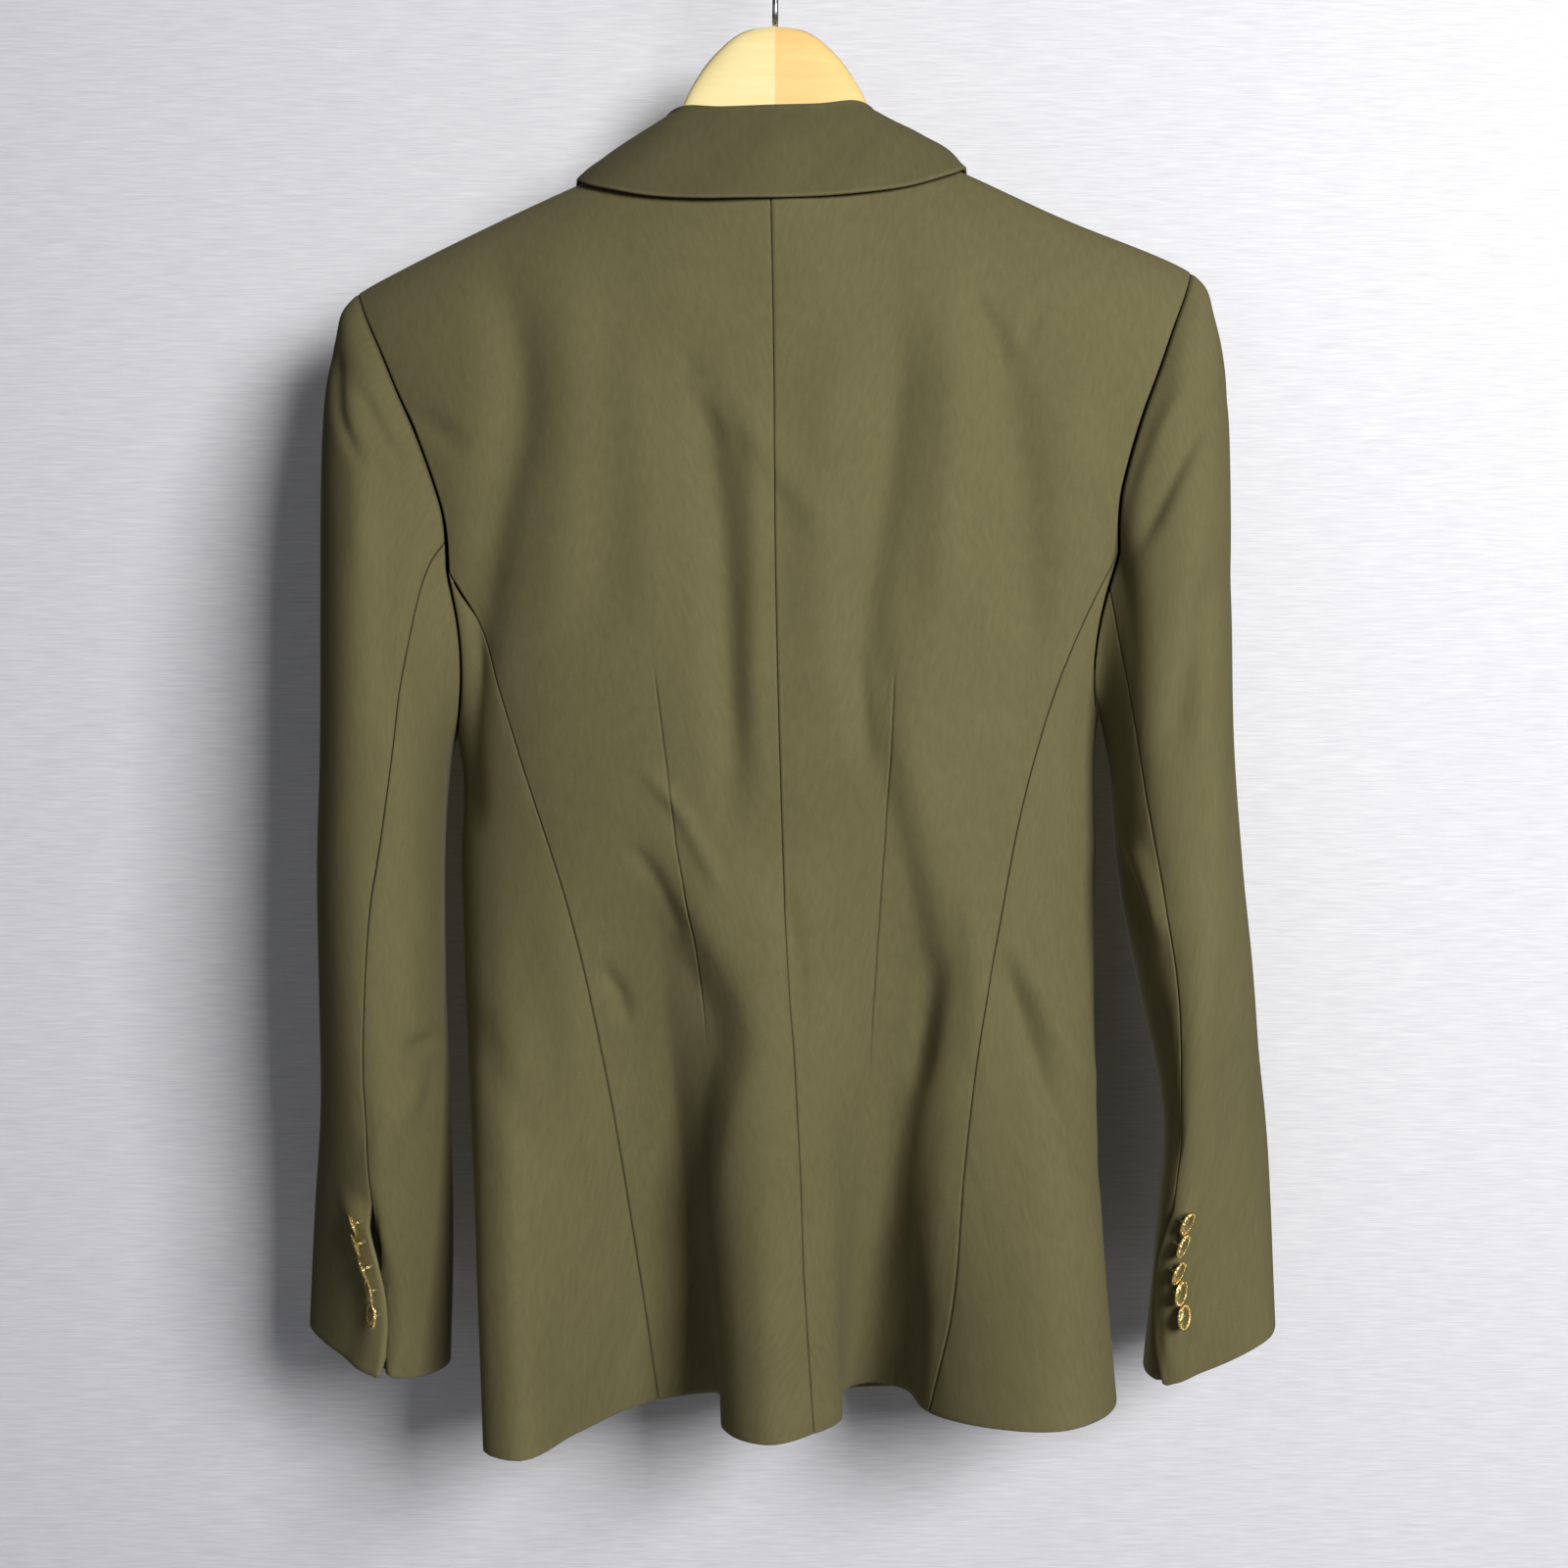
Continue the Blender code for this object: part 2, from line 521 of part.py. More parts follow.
def torso_panel(face, side, spread, inner_x, top_z, arm_x, lower_inner, lower_outer):
    """Grid of a back or front panel, from its inner edge out to the armhole and side seam.

    inner_x gives the inner edge above the chest, top_z the height of each column's top.
    """
    sign = SIDES[side]
    points, normals = [], []
    tops = [top_z(s) for s in spread]
    for rise in UPPER_RISE:
        heights = [CHEST_Z + rise * (top - CHEST_Z) for top in tops]
        start = inner_x(heights[0])
        end = sign * (arm_x(heights[-1]) - SEAM_GAP / 2)
        xs = [start + s * (end - start) for s in spread]
        ridge = rise >= 1.0
        row, line = [], []
        for x, z in zip(xs, heights):
            on_ridge = ridge and abs(x) >= NECK_X - 0.0005
            point = face_point(face, x, z)
            if on_ridge:
                point[1] = (-1 if face == "back" else 1) * SEAM_GAP / 2
            row.append(point)
            line.append(face_normal(face, x, z, on_ridge))
        points.append(row)
        normals.append(line)
    start_x, end_x = inner_x(CHEST_Z), sign * (arm_x(CHEST_Z) - SEAM_GAP / 2)
    steps = column_shares(face, side, start_x, end_x, spread,
                          lower_inner(CHEST_Z), lower_outer(CHEST_Z))
    for fall in LOWER_FALL:
        row, line = [], []
        for step in steps:
            rough = lower_inner(CHEST_Z) + step * (lower_outer(CHEST_Z) - lower_inner(CHEST_Z))
            z = CHEST_Z + fall * (hem_z(face, rough) - CHEST_Z)
            first, last = lower_inner(z), lower_outer(z)
            share = first + step * (last - first)
            row.append(drape_point(face, share, z))
            line.append(drape_normal(face, share, z))
        points.append(row)
        normals.append(line)
    return points, normals


NECK_SHARE = NECK_X / TIP_X
BACK_SPREAD = [NECK_SHARE * s for s in (0, 0.33, 0.67)] + [
    NECK_SHARE + (1 - NECK_SHARE) * k / 9 for k in range(10)]


def seam_nudge(face, z):
    """Half a seam's gap, as a share of the half plan."""
    return SEAM_GAP / 2 / half_length(face, z)


def back_panel(side):
    sign = SIDES[side]

    def top_z(s):
        x = sign * s * TIP_X
        return neckline_z("back", x) if abs(x) < NECK_X - 0.0005 else shoulder_z(x)

    return torso_panel(
        "back", side, BACK_SPREAD,
        lambda z: centre_back(z) + sign * SEAM_GAP / 2, top_z, back_armhole,
        lambda z: CENTRE_SHARE(z) + sign * seam_nudge("back", z),
        lambda z: PANEL_SHARE[side](z) - sign * seam_nudge("back", z))


def roll_line_x(z):
    """The front edge: along the lapel's roll, then straight down past the centre."""
    share = min((ROLL_TOP_Z - z) / (ROLL_TOP_Z - BREAK_Z), 1.0)
    return ROLL_TOP_X - share * (ROLL_TOP_X + WRAP_X)


def front_spread():
    neck = (NECK_X - ROLL_TOP_X) / (TIP_X - ROLL_TOP_X)
    return [0.0, neck * 0.5] + [neck + (1 - neck) * (k / 10) for k in range(11)]


def front_edge_share(side):
    sign = SIDES[side]
    return cut_share_track("front", lambda z: sign * roll_line_x(z))


def wrap_lift(side, x, z):
    """How far the outer front lies off the surface of the body."""
    if side == "left":
        return 0.0
    return WRAP_LIFT * (1 - smooth_step(x, *WRAP_FADE)) * smooth_step(-z, *WRAP_RISE)


def lifted(points, normals, lift):
    return [[p + lift(p) * n for p, n in zip(row, line)] for row, line in zip(points, normals)]


def front_panel(side):
    sign = SIDES[side]
    edge_share = front_edge_share(side)

    def top_z(s):
        x = ROLL_TOP_X + s * (TIP_X - ROLL_TOP_X)
        return neckline_z("front", x) if x < NECK_X - 0.0005 else shoulder_z(x)

    points, normals = torso_panel(
        "front", side, front_spread(),
        lambda z: sign * roll_line_x(z), top_z, front_armhole,
        edge_share, lambda z: SIDE_SHARE[side](z) - sign * seam_nudge("front", z))
    return lifted(points, normals, lambda p: wrap_lift(side, p[0], p[2])), normals


SIDE_COLUMNS = 11


def armhole_floor_z(step):
    """Height of the side panel's top edge, a curve that dips under the arm."""
    return ARMHOLE_BOTTOM_Z + (CHEST_Z - ARMHOLE_BOTTOM_Z) * abs(2 * step - 1) ** 2.2


def side_share(side, step, z):
    """Back-face share of a side panel's column; past the end it runs on to the front."""
    nudge = seam_nudge("back", z)
    back, front = half_length("back", z), half_length("front", z)
    if side == "left":
        first = PANEL_SHARE[side](z) - nudge
        last = -(SIDE_SHARE[side](z) - seam_nudge("front", z)) * front / back
    else:
        first = PANEL_SHARE[side](z) + nudge
        last = 1 + (1 - SIDE_SHARE[side](z) - seam_nudge("front", z)) * front / back
    return first + step * (last - first)


def side_point(side, step, z):
    return drape_point("back", side_share(side, step, z), z)


def side_normal(side, step, z):
    return drape_normal("back", side_share(side, step, z), z)


def side_hem_z(side, step):
    share = side_share(side, step, BACK_HEM_Z)
    over = -share if side == "left" else share - 1
    if over <= 0:
        return BACK_HEM_Z
    run = over * half_length("back", BACK_HEM_Z) / half_length("front", BACK_HEM_Z)
    return hem_z("front", run)


def side_panel(side):
    points, normals = [], []
    steps = [k / SIDE_COLUMNS for k in range(SIDE_COLUMNS + 1)]
    for fall in LOWER_FALL:
        heights = []
        for step in steps:
            top = armhole_floor_z(step)
            heights.append(top + fall * (side_hem_z(side, step) - top))
        points.append([side_point(side, s, z) for s, z in zip(steps, heights)])
        normals.append([side_normal(side, s, z) for s, z in zip(steps, heights)])
    return points, normals


# ---------------------------------------------------------------- lapels
LAPEL_ROWS = 14
LAPEL_COLUMNS = (0.0, 0.18, 0.37, LAPEL_NOTCH_SHARE, 0.70, 0.85, 1.0)
lapel_edge = Track([row.down for row in LAPEL_EDGE], [(row.x, row.z) for row in LAPEL_EDGE])


def lapel_panel(side):
    """A lapel turned back on its front: the front's own surface, moved outward."""
    sign = SIDES[side]
    points, normals = [], []
    for i in range(LAPEL_ROWS + 1):
        down = i / LAPEL_ROWS
        z_roll = ROLL_TOP_Z - 0.003 + down * (BREAK_Z - ROLL_TOP_Z + 0.006)
        roll = np.array([roll_line_x(z_roll) + 0.0008, z_roll])
        edge = lapel_edge(down)
        kink = np.array(LAPEL_NOTCH) - (roll + LAPEL_NOTCH_SHARE * (edge - roll))
        row, line = [], []
        for step in LAPEL_COLUMNS:
            bend = min(step / LAPEL_NOTCH_SHARE, (1 - step) / (1 - LAPEL_NOTCH_SHARE))
            x, z = roll + step * (edge - roll) + kink * bend * max(1 - 4 * down, 0) ** 2
            x *= sign
            normal = face_normal("front", x, z)
            point = face_point("front", x, z)
            row.append(point + (wrap_lift(side, x, z) + LAPEL_LIFT) * normal)
            line.append(normal)
        points.append(row)
        normals.append(line)
    return points, normals


# ---------------------------------------------------------------- collar
COLLAR_STEPS = 36
ROLL_RADIUS = 0.0021        # outer radius of the fold along the collar's top
STAND_SHARES = (0.0, 0.35, 0.7)
ROLL_TURNS = (0, 45, 90, 135, 180)
FALL_SHARES = (0.22, 0.45, 0.7, 0.88, 1.0)
COLLAR_CLEAR = 0.0040       # outer face of the fall's edge above the shoulder cloth
RIDGE_CLEAR = 0.0014        # and this much more where it crosses the shoulder line
NECK_AXIS_Y = 0.004
collar_track = Track([row.along for row in COLLAR_PLACES],
                     [tuple(row)[1:] for row in COLLAR_PLACES])


def grid_normals(points):
    """Normals of an open grid from its neighbouring points."""
    grid = np.array(points)
    down, across = np.gradient(grid, axis=0), np.gradient(grid, axis=1)
    normals = np.cross(across, down)
    return normals / np.linalg.norm(normals, axis=2, keepdims=True)


def collar_ground(x, z, forward):
    """Where the collar's edge lies on the shoulders, just off their cloth."""
    top = shoulder_z(x)
    face = "front" if forward else "back"
    if z >= top - 0.003:
        y = face_y(face, x, top - 0.001) * (top - z) / 0.003
        return np.array([x, y, z + COLLAR_CLEAR + RIDGE_CLEAR])
    point = face_point(face, x, z)
    clear = COLLAR_CLEAR + RIDGE_CLEAR * (1 - smooth_step(abs(point[1]), 0.010, 0.035))
    return point + clear * face_normal(face, x, z)


def collar_row(half):
    """Outer line of the collar at one place, from the foot of its stand to its edge."""
    base_x, base_z, roll_x, roll_y, roll_z, edge_x, edge_z, bulge = collar_track(abs(half))
    forward = abs(half) > 0.64
    face = "front" if forward else "back"
    foot = face_point(face, base_x, min(base_z, shoulder_z(base_x) - 0.0002))
    inward = unit(np.array([-roll_x, NECK_AXIS_Y - roll_y, 0.0]))
    up = np.array([0.0, 0.0, 1.0])
    foot = np.array([foot[0], foot[1], base_z + 2 * SEAM_GAP]) + CLOTH * inward
    fold = np.array([roll_x, roll_y, roll_z - ROLL_RADIUS])
    roll = [fold + ROLL_RADIUS * (math.cos(a) * inward + math.sin(a) * up)
            for a in map(math.radians, ROLL_TURNS)]
    stand = [foot + s * (roll[0] - foot) for s in STAND_SHARES]
    edge = collar_ground(edge_x, edge_z, forward)
    middle = 0.5 * (roll[-1] + edge) + 2 * bulge * unit(up - inward)
    fall = [(1 - s) ** 2 * roll[-1] + 2 * s * (1 - s) * middle + s * s * edge
            for s in FALL_SHARES]
    row = stand + roll + fall
    sign = -1 if half < 0 else 1
    return [p * np.array([sign, 1, 1]) for p in row]


def collar_panel():
    """The stand rises from the neckline, rolls over and falls back on the shoulders."""
    places = np.linspace(-1, 1, COLLAR_STEPS + 1)
    points = [collar_row(half) for half in places]
    return points, grid_normals(points)


# ---------------------------------------------------------------- sleeves
SLEEVE_TRACK = {
    "left": Track([row.z for row in LEFT_SLEEVE], [tuple(row)[1:] for row in LEFT_SLEEVE]),
    "right": Track([row.z for row in RIGHT_SLEEVE], [tuple(row)[1:] for row in RIGHT_SLEEVE])}
SEAM_TURN = {
    "left": Track([row.z for row in LEFT_SLEEVE_SEAM], [row.degrees for row in LEFT_SLEEVE_SEAM]),
    "right": Track([row.z for row in RIGHT_SLEEVE_SEAM],
                   [row.degrees for row in RIGHT_SLEEVE_SEAM])}


def armhole_path(side):
    """The closed armhole on the outer face of the body, from the shoulder tip
    down the back, under the arm and up the front."""
    sign = SIDES[side]
    back = [face_point("back", sign * back_armhole(z), z)
            for z in np.linspace(shoulder_z(TIP_X), CHEST_Z, 24)]
    back[0][1] = 0.0
    floor = []
    for step in np.linspace(0, 1, 33)[1:-1]:
        floor.append(side_point(side, step, armhole_floor_z(step)))
    front = [face_point("front", sign * front_armhole(z), z)
             for z in np.linspace(CHEST_Z, shoulder_z(TIP_X), 24)]
    front[-1][1] = 0.0
    return np.array(back), np.array(floor), np.array(front)


def armhole_points(side):
    """The armhole as it hangs, with the bottom found so that each half can be shared."""
    back, floor, front = armhole_path(side)
    middle = len(floor) // 2
    rear = np.concatenate([back, floor[:middle + 1]])
    fore = np.concatenate([floor[middle:], front])
    return (np.array([hang(p) for p in rear]), np.array([hang(p) for p in fore]))


ARMHOLES = {side: armhole_points(side) for side in SIDES}


def armhole_normal(side, degrees):
    """Normal of the body's cloth at the armhole, over the shoulder."""
    x, y, z = armhole_at(side, degrees)
    face = "back" if degrees % 360 <= 180 else "front"
    tip_share = smooth_step(abs(y), 0.0, 0.004)
    flat = face_normal(face, x, z) * tip_share
    return unit(flat + (1 - tip_share) * face_normal(face, x, z, ridge=True))


def armhole_at(side, degrees):
    degrees %= 360
    rear, fore = ARMHOLES[side]
    if degrees <= 180:
        point = along(rear, degrees / 180)
    else:
        point = along(fore, (degrees - 180) / 180)
    return point + np.array([SIDES[side] * ARMHOLE_STEP, 0, 0])


def tube_point(side, degrees, z):
    """A point of the plain sleeve tube: 0 is its outer side, 90 the back."""
    x, y, half_width, half_depth, turn, slant, power = SLEEVE_TRACK[side](z)
    angle, turn, power = math.radians(degrees), math.radians(turn), 2 / power
    out = half_width * math.copysign(abs(math.cos(angle)) ** power, math.cos(angle))
    rear = half_depth * math.copysign(abs(math.sin(angle)) ** power, math.sin(angle))
    turned_out = out * math.cos(turn) - rear * math.sin(turn)
    turned_rear = rear * math.cos(turn) + out * math.sin(turn)
    return np.array([SIDES[side] * (x + turned_out), y - turned_rear, z + slant * turned_out])


def sleeve_point(side, degrees, fall):
    """A point of the sleeve, at a share of the way from its armhole to its cuff."""
    start = armhole_at(side, degrees)
    z = start[2] + fall * (CUFF_Z - start[2])
    ease = math.exp(-(start[2] - z) / CAP_EASE)
    return tube_point(side, degrees, z) + ease * (start - tube_point(side, degrees, start[2]))


def sleeve_normal(side, degrees, fall):
    """Outward normal; along the seam over the shoulder it is the body's own."""
    inside = min(max(fall, 0.002), 0.998)
    own = surface_normal(lambda a, b: sleeve_point(side, a, b), degrees, inside, 0.5, 0.001)
    own = own * SIDES[side]
    if fall > 0:
        return own
    share = smooth_step(math.cos(math.radians(degrees)), -0.35, 0.05)
    return unit(share * armhole_normal(side, degrees) + (1 - share) * own)


def sleeve_fall_z(side, degrees, fall):
    top = armhole_at(side, degrees)[2]
    return top + fall * (CUFF_Z - top)


vent_lap = Track([row.z for row in VENT_LAP], [row.lap for row in VENT_LAP])


def vent_edge_degrees(side, z):
    """Where the upper sleeve ends, over the back: at the seam, or past it at the vent."""
    return SEAM_TURN[side](z) - SEAM_TURN_GAP + max(vent_lap(z), 0.0)


def vent_lift(degrees, edge, z):
    """How far the upper sleeve stands off its own tube near the vent's edge."""
    return (VENT_LIFT * smooth_step(VENT_TOP_Z - z, 0.0, VENT_RISE)
            * smooth_step(degrees, edge - VENT_BLEND, edge - 14))


UPPER_COLUMNS = 14
UNDER_COLUMNS = 10
ROWS_TO_VENT = 12
VENT_ROWS = (VENT_TOP_Z, VENT_TOP_Z - VENT_RISE, -0.725, -0.740, -0.757, -0.774, CUFF_Z)


def sleeve_rows(side):
    """Shares of the way down the sleeve: rows at the vent's own heights at its end."""
    def share(z):
        top = armhole_at(side, SEAM_TURN[side](z))[2]
        return (z - top) / (CUFF_Z - top)

    vent = [share(z) for z in VENT_ROWS]
    return [vent[0] * (k / ROWS_TO_VENT) ** 1.25 for k in range(ROWS_TO_VENT)] + vent


def seam_height(side, fall):
    """Height that the back seam has reached at a share of the way down."""
    z = sleeve_fall_z(side, 110, fall)
    return sleeve_fall_z(side, SEAM_TURN[side](z), fall)


def sleeve_piece(side, first, last, columns, lift):
    """Grid of one sleeve piece; first and last give its edges, in degrees, at a height."""
    points, normals = [], []
    for fall in sleeve_rows(side):
        z = seam_height(side, fall)
        start, end = first(z), last(z)
        turns = [start + (end - start) * k / columns for k in range(columns + 1)]
        line = [sleeve_normal(side, turn, fall) for turn in turns]
        row = [sleeve_point(side, turn, fall) + lift(turn, z) * normal
               for turn, normal in zip(turns, line)]
        points.append(row)
        normals.append(line)
    return points, normals


def upper_sleeve(side):
    """From the front seam over the outer side to the back seam, lapping it at the vent."""
    return sleeve_piece(
        side, lambda z: FRONT_SLEEVE_SEAM - 360 + SEAM_TURN_GAP, lambda z: vent_edge_degrees(side, z),
        UPPER_COLUMNS, lambda turn, z: vent_lift(turn, vent_edge_degrees(side, z), z))


def under_sleeve(side):
    """From the back seam round under the arm to the front seam."""
    return sleeve_piece(
        side, lambda z: SEAM_TURN[side](z) + SEAM_TURN_GAP,
        lambda z: FRONT_SLEEVE_SEAM - SEAM_TURN_GAP,
        UNDER_COLUMNS, lambda turn, z: 0.0)


# ---------------------------------------------------------------- buttons
BUTTON_STEPS = 12
BUTTON_FOOT = 0.22          # radius of the shank, as a share of the button's
LOWER_FROM = 0.009          # a button is lowered onto the cloth from this far off
LOWER_STEP = 0.0001
ButtonRing = namedtuple("ButtonRing", "radius height")    # as shares of the button's radius
BUTTON_PROFILE = (
    ButtonRing(0.00, 0.00), ButtonRing(BUTTON_FOOT, 0.00), ButtonRing(BUTTON_FOOT, 0.60),
    ButtonRing(0.90, 0.66), ButtonRing(1.00, 0.76), ButtonRing(0.96, 0.88),
    ButtonRing(0.55, 1.02), ButtonRing(0.00, 1.08),
)


def button_shape(radius):
    """A domed shank button, turned about its own axis with its foot at the origin."""
    shape = bmesh.new()
    line = [shape.verts.new((ring.radius * radius, 0, ring.height * radius))
            for ring in BUTTON_PROFILE]
    edges = [shape.edges.new(pair) for pair in zip(line, line[1:])]
    bmesh.ops.spin(shape, geom=line + edges, cent=(0, 0, 0), axis=(0, 0, 1),
                   angle=math.tau, steps=BUTTON_STEPS, use_merge=True)
    bmesh.ops.remove_doubles(shape, verts=shape.verts, dist=1e-6)
    return shape


def lowered(corners, faces, foot, normal, cloth):
    """How far above its foot a button comes to rest as it is lowered onto the cloth."""
    clear = LOWER_FROM
    while clear > SEAM_GAP:
        places = [Vector(foot + corner + (clear - LOWER_STEP) * normal) for corner in corners]
        near = min(cloth.find_nearest(place)[3] for place in places)
        if near < SEAM_GAP or cloth.overlap(BVHTree.FromPolygons(places, faces)):
            break
        clear -= LOWER_STEP
    return clear + SEAM_GAP


def face_corners(piece):
    return [tuple(face.vertices) for face in piece.data.polygons]


def add_button(name, foot, normal, facing, radius, material, cloth):
    """A button that faces facing and rests on the cloth, by its shank or by its rim."""
    made = add_object(name, button_shape(radius), material)
    level = unit(np.cross((0.0, 0.0, 1.0), facing))
    basis = np.stack([level, np.cross(facing, level), facing], 1)
    corners = [basis @ np.array(vert.co) for vert in made.data.vertices]
    clear = lowered(corners, face_corners(made), foot, normal, cloth)
    made.matrix_world = (Matrix.Translation(foot + clear * normal)
                         @ Matrix(basis.tolist()).to_4x4())
    return made


def cloth_tree(piece):
    """The faces of a finished piece of cloth, to measure from."""
    return BVHTree.FromPolygons([v.co for v in piece.data.vertices], face_corners(piece))


def cuff_button(side, index, material, cloth):
    """A cuff button, set in from the vent's edge along the upper sleeve."""
    z, inset, turn_out, tip_up = CUFF_BUTTONS[side][index]
    edge = vent_edge_degrees(side, z)
    degrees = edge
    top = armhole_at(side, edge)[2]
    fall = (z - top) / (CUFF_Z - top)
    edge_point = sleeve_point(side, edge, fall)
    while np.linalg.norm(sleeve_point(side, degrees, fall) - edge_point) < inset:
        degrees -= 0.5
    normal = sleeve_normal(side, degrees, fall)
    foot = sleeve_point(side, degrees, fall) + vent_lift(degrees, edge, z) * normal
    turn, tip = math.radians(turn_out), math.radians(tip_up)
    facing = np.array([SIDES[side] * math.sin(turn) * math.cos(tip),
                       -math.cos(turn) * math.cos(tip), math.sin(tip)])
    return add_button(f"cuff_button_{side}_{index + 1}", foot, normal, facing,
                      CUFF_BUTTON_RADIUS, material, cloth)


def front_button(side, index, material, cloth):
    """Both columns of buttons lie on the outer front."""
    x, z = SIDES[side] * FRONT_BUTTON_X, FRONT_BUTTON_Z[index]
    shares = np.linspace(0, 1, 801)
    share = float(np.interp(x, drape_row("front", shares, z)[:, 0], shares))
    normal = drape_normal("front", share, z)
    foot = drape_point("front", share, z) + wrap_lift("right", x, z) * normal
    pivot = hang((0.0, 0.0, 0.0))
    facing = hang(normal) - pivot
    return add_button(f"front_button_{side}_{index + 1}", hang(foot), facing, facing,
                      FRONT_BUTTON_RADIUS, material, cloth)


# ---------------------------------------------------------------- hanger
def wood_ring(place, centre_z, half_height, half_thick):
    ring = []
    for k in range(WOOD_RING):
        angle = math.tau * k / WOOD_RING
        y = half_thick * math.copysign(abs(math.cos(angle)) ** (2 / WOOD_POWER), math.cos(angle))
        z = half_height * math.copysign(abs(math.sin(angle)) ** (2 / WOOD_POWER), math.sin(angle))
        ring.append(np.array([place, y, centre_z + z]))
    return ring


def wood_half(side):
    """Half of the hanger: its dome stands upright, its arm follows the shoulder."""
    sign = SIDES[side]
    rings = []
    for row in WOOD_DOME:
        rings.append(wood_ring(sign * row.x, (row.top + row.bottom) / 2,
                               (row.top - row.bottom) / 2, row.half_thick))
    for k in range(WOOD_ARM_STEPS + 1):
        share = k / WOOD_ARM_STEPS
        x = WOOD_ARM_START_X + share * (WOOD_ARM_END_X - WOOD_ARM_START_X)
        top = min(shoulder_z(x) - CLOTH - WOOD_CLEAR, WOOD_ARM_TOP_Z)
        depth = WOOD_ARM_DEPTHS[0] + share * (WOOD_ARM_DEPTHS[1] - WOOD_ARM_DEPTHS[0])
        half = WOOD_ARM_HALVES[0] + share * (WOOD_ARM_HALVES[1] - WOOD_ARM_HALVES[0])
        if k == WOOD_ARM_STEPS:
            top, depth, half = top - 0.004, depth - 0.008, half * 0.7
        rings.append([hang(p) for p in wood_ring(sign * x, top - depth / 2, depth / 2, half)])
    shape = bmesh.new()
    loops = [[shape.verts.new(p) for p in ring] for ring in rings]
    for first, second in zip(loops, loops[1:]):
        for k in range(WOOD_RING):
            n = (k + 1) % WOOD_RING
            shape.faces.new((first[k], first[n], second[n], second[k]))
    shape.faces.new(loops[0])
    shape.faces.new(loops[-1])
    return shape


def hook_path():
    """Up the rod, out round a bend, and over the hook's own circle."""
    centre_z = HOOK_WIRE_RADIUS - HOOK_RADIUS
    rod_top, join = -0.052, math.radians(-52)
    start = np.array([0.0, rod_top])
    end = np.array([HOOK_RADIUS * math.cos(join), centre_z + HOOK_RADIUS * math.sin(join)])
    lead, tail = start + (0, 0.008), end - 0.008 * np.array([-math.sin(join), math.cos(join)])
    points = [(0.0, WOOD_TOP_Z + SEAM_GAP), (0.0, -0.066)]
    for t in np.linspace(0, 1, 7)[:-1]:
        points.append(tuple((1 - t)**3 * start + 3 * t * (1 - t)**2 * lead
                            + 3 * t * t * (1 - t) * tail + t**3 * end))
    for turn in np.linspace(join, math.radians(205), 22):
        points.append((HOOK_RADIUS * math.cos(turn), centre_z + HOOK_RADIUS * math.sin(turn)))
    return points


def add_hook(material):
    curve = bpy.data.curves.new("hook", "CURVE")
    curve.dimensions = "3D"
    curve.bevel_depth = HOOK_WIRE_RADIUS
    curve.bevel_resolution = 2
    curve.use_fill_caps = True
    spline = curve.splines.new("POLY")
    places = hook_path()
    spline.points.add(len(places) - 1)
    for point, (x, z) in zip(spline.points, places):
        point.co = (x, 0, z, 1)
    curve.materials.append(material)
    made = bpy.data.objects.new("hook", curve)
    bpy.context.collection.objects.link(made)
    return made


# ---------------------------------------------------------------- the whole part
def hung_wall(name, panel, material, wall=CLOTH):
    points, normals = panel
    return wall_from_grid(name, hung_grid(points), hung_normals(normals), material, wall)


def main():
    for old in list(bpy.data.objects):
        bpy.data.objects.remove(old)
    olive = new_material("olive_twill", OLIVE, 0.85)
    olive_side = new_material("olive_twill_side", OLIVE_SIDE, 0.85)
    olive_collar = new_material("olive_twill_collar", OLIVE_COLLAR, 0.85)
    gold = new_material("gold_button", GOLD, 0.30, 1.0)
    woods = {"left": new_material("wood_pale", WOOD_PALE, 0.45),
             "right": new_material("wood_deep", WOOD_DEEP, 0.45)}
    steel = new_material("hook_steel", STEEL, 0.25, 1.0)

    fronts = {side: hung_wall(f"front_{side}", front_panel(side), olive) for side in SIDES}
    outer_front = cloth_tree(fronts["right"])
    for side in SIDES:
        hung_wall(f"back_{side}", back_panel(side), olive)
        hung_wall(f"side_{side}", side_panel(side), olive_side)
        hung_wall(f"lapel_{side}", lapel_panel(side), olive_collar, LAPEL_CLOTH)
        upper = wall_from_grid(f"sleeve_upper_{side}", *upper_sleeve(side), olive)
        wall_from_grid(f"sleeve_under_{side}", *under_sleeve(side), olive_side)
        for index in range(len(CUFF_BUTTONS[side])):
            cuff_button(side, index, gold, cloth_tree(upper))
        for index in range(len(FRONT_BUTTON_Z)):
            front_button(side, index, gold, outer_front)
        add_object(f"hanger_wood_{side}", wood_half(side), woods[side])
    hung_wall("collar", collar_panel(), olive_collar)
    add_hook(steel)


if __name__ == "__main__":
    main()
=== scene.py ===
"""Looks of a double-breasted blazer on its wooden hanger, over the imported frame.

Metres, +Z up.  The cloth is worked out from the same tables as the solids, at a finer
pitch, with its seams, darts, pressed creases and soft folds.  The photograph shows the
back, which faces -Y; +X is the wearer's right.
"""
import logging
import math
import sys
from collections.abc import Callable, Sequence
from dataclasses import dataclass, field
from enum import Enum

import bpy
import numpy as np
from mathutils import Matrix, Vector

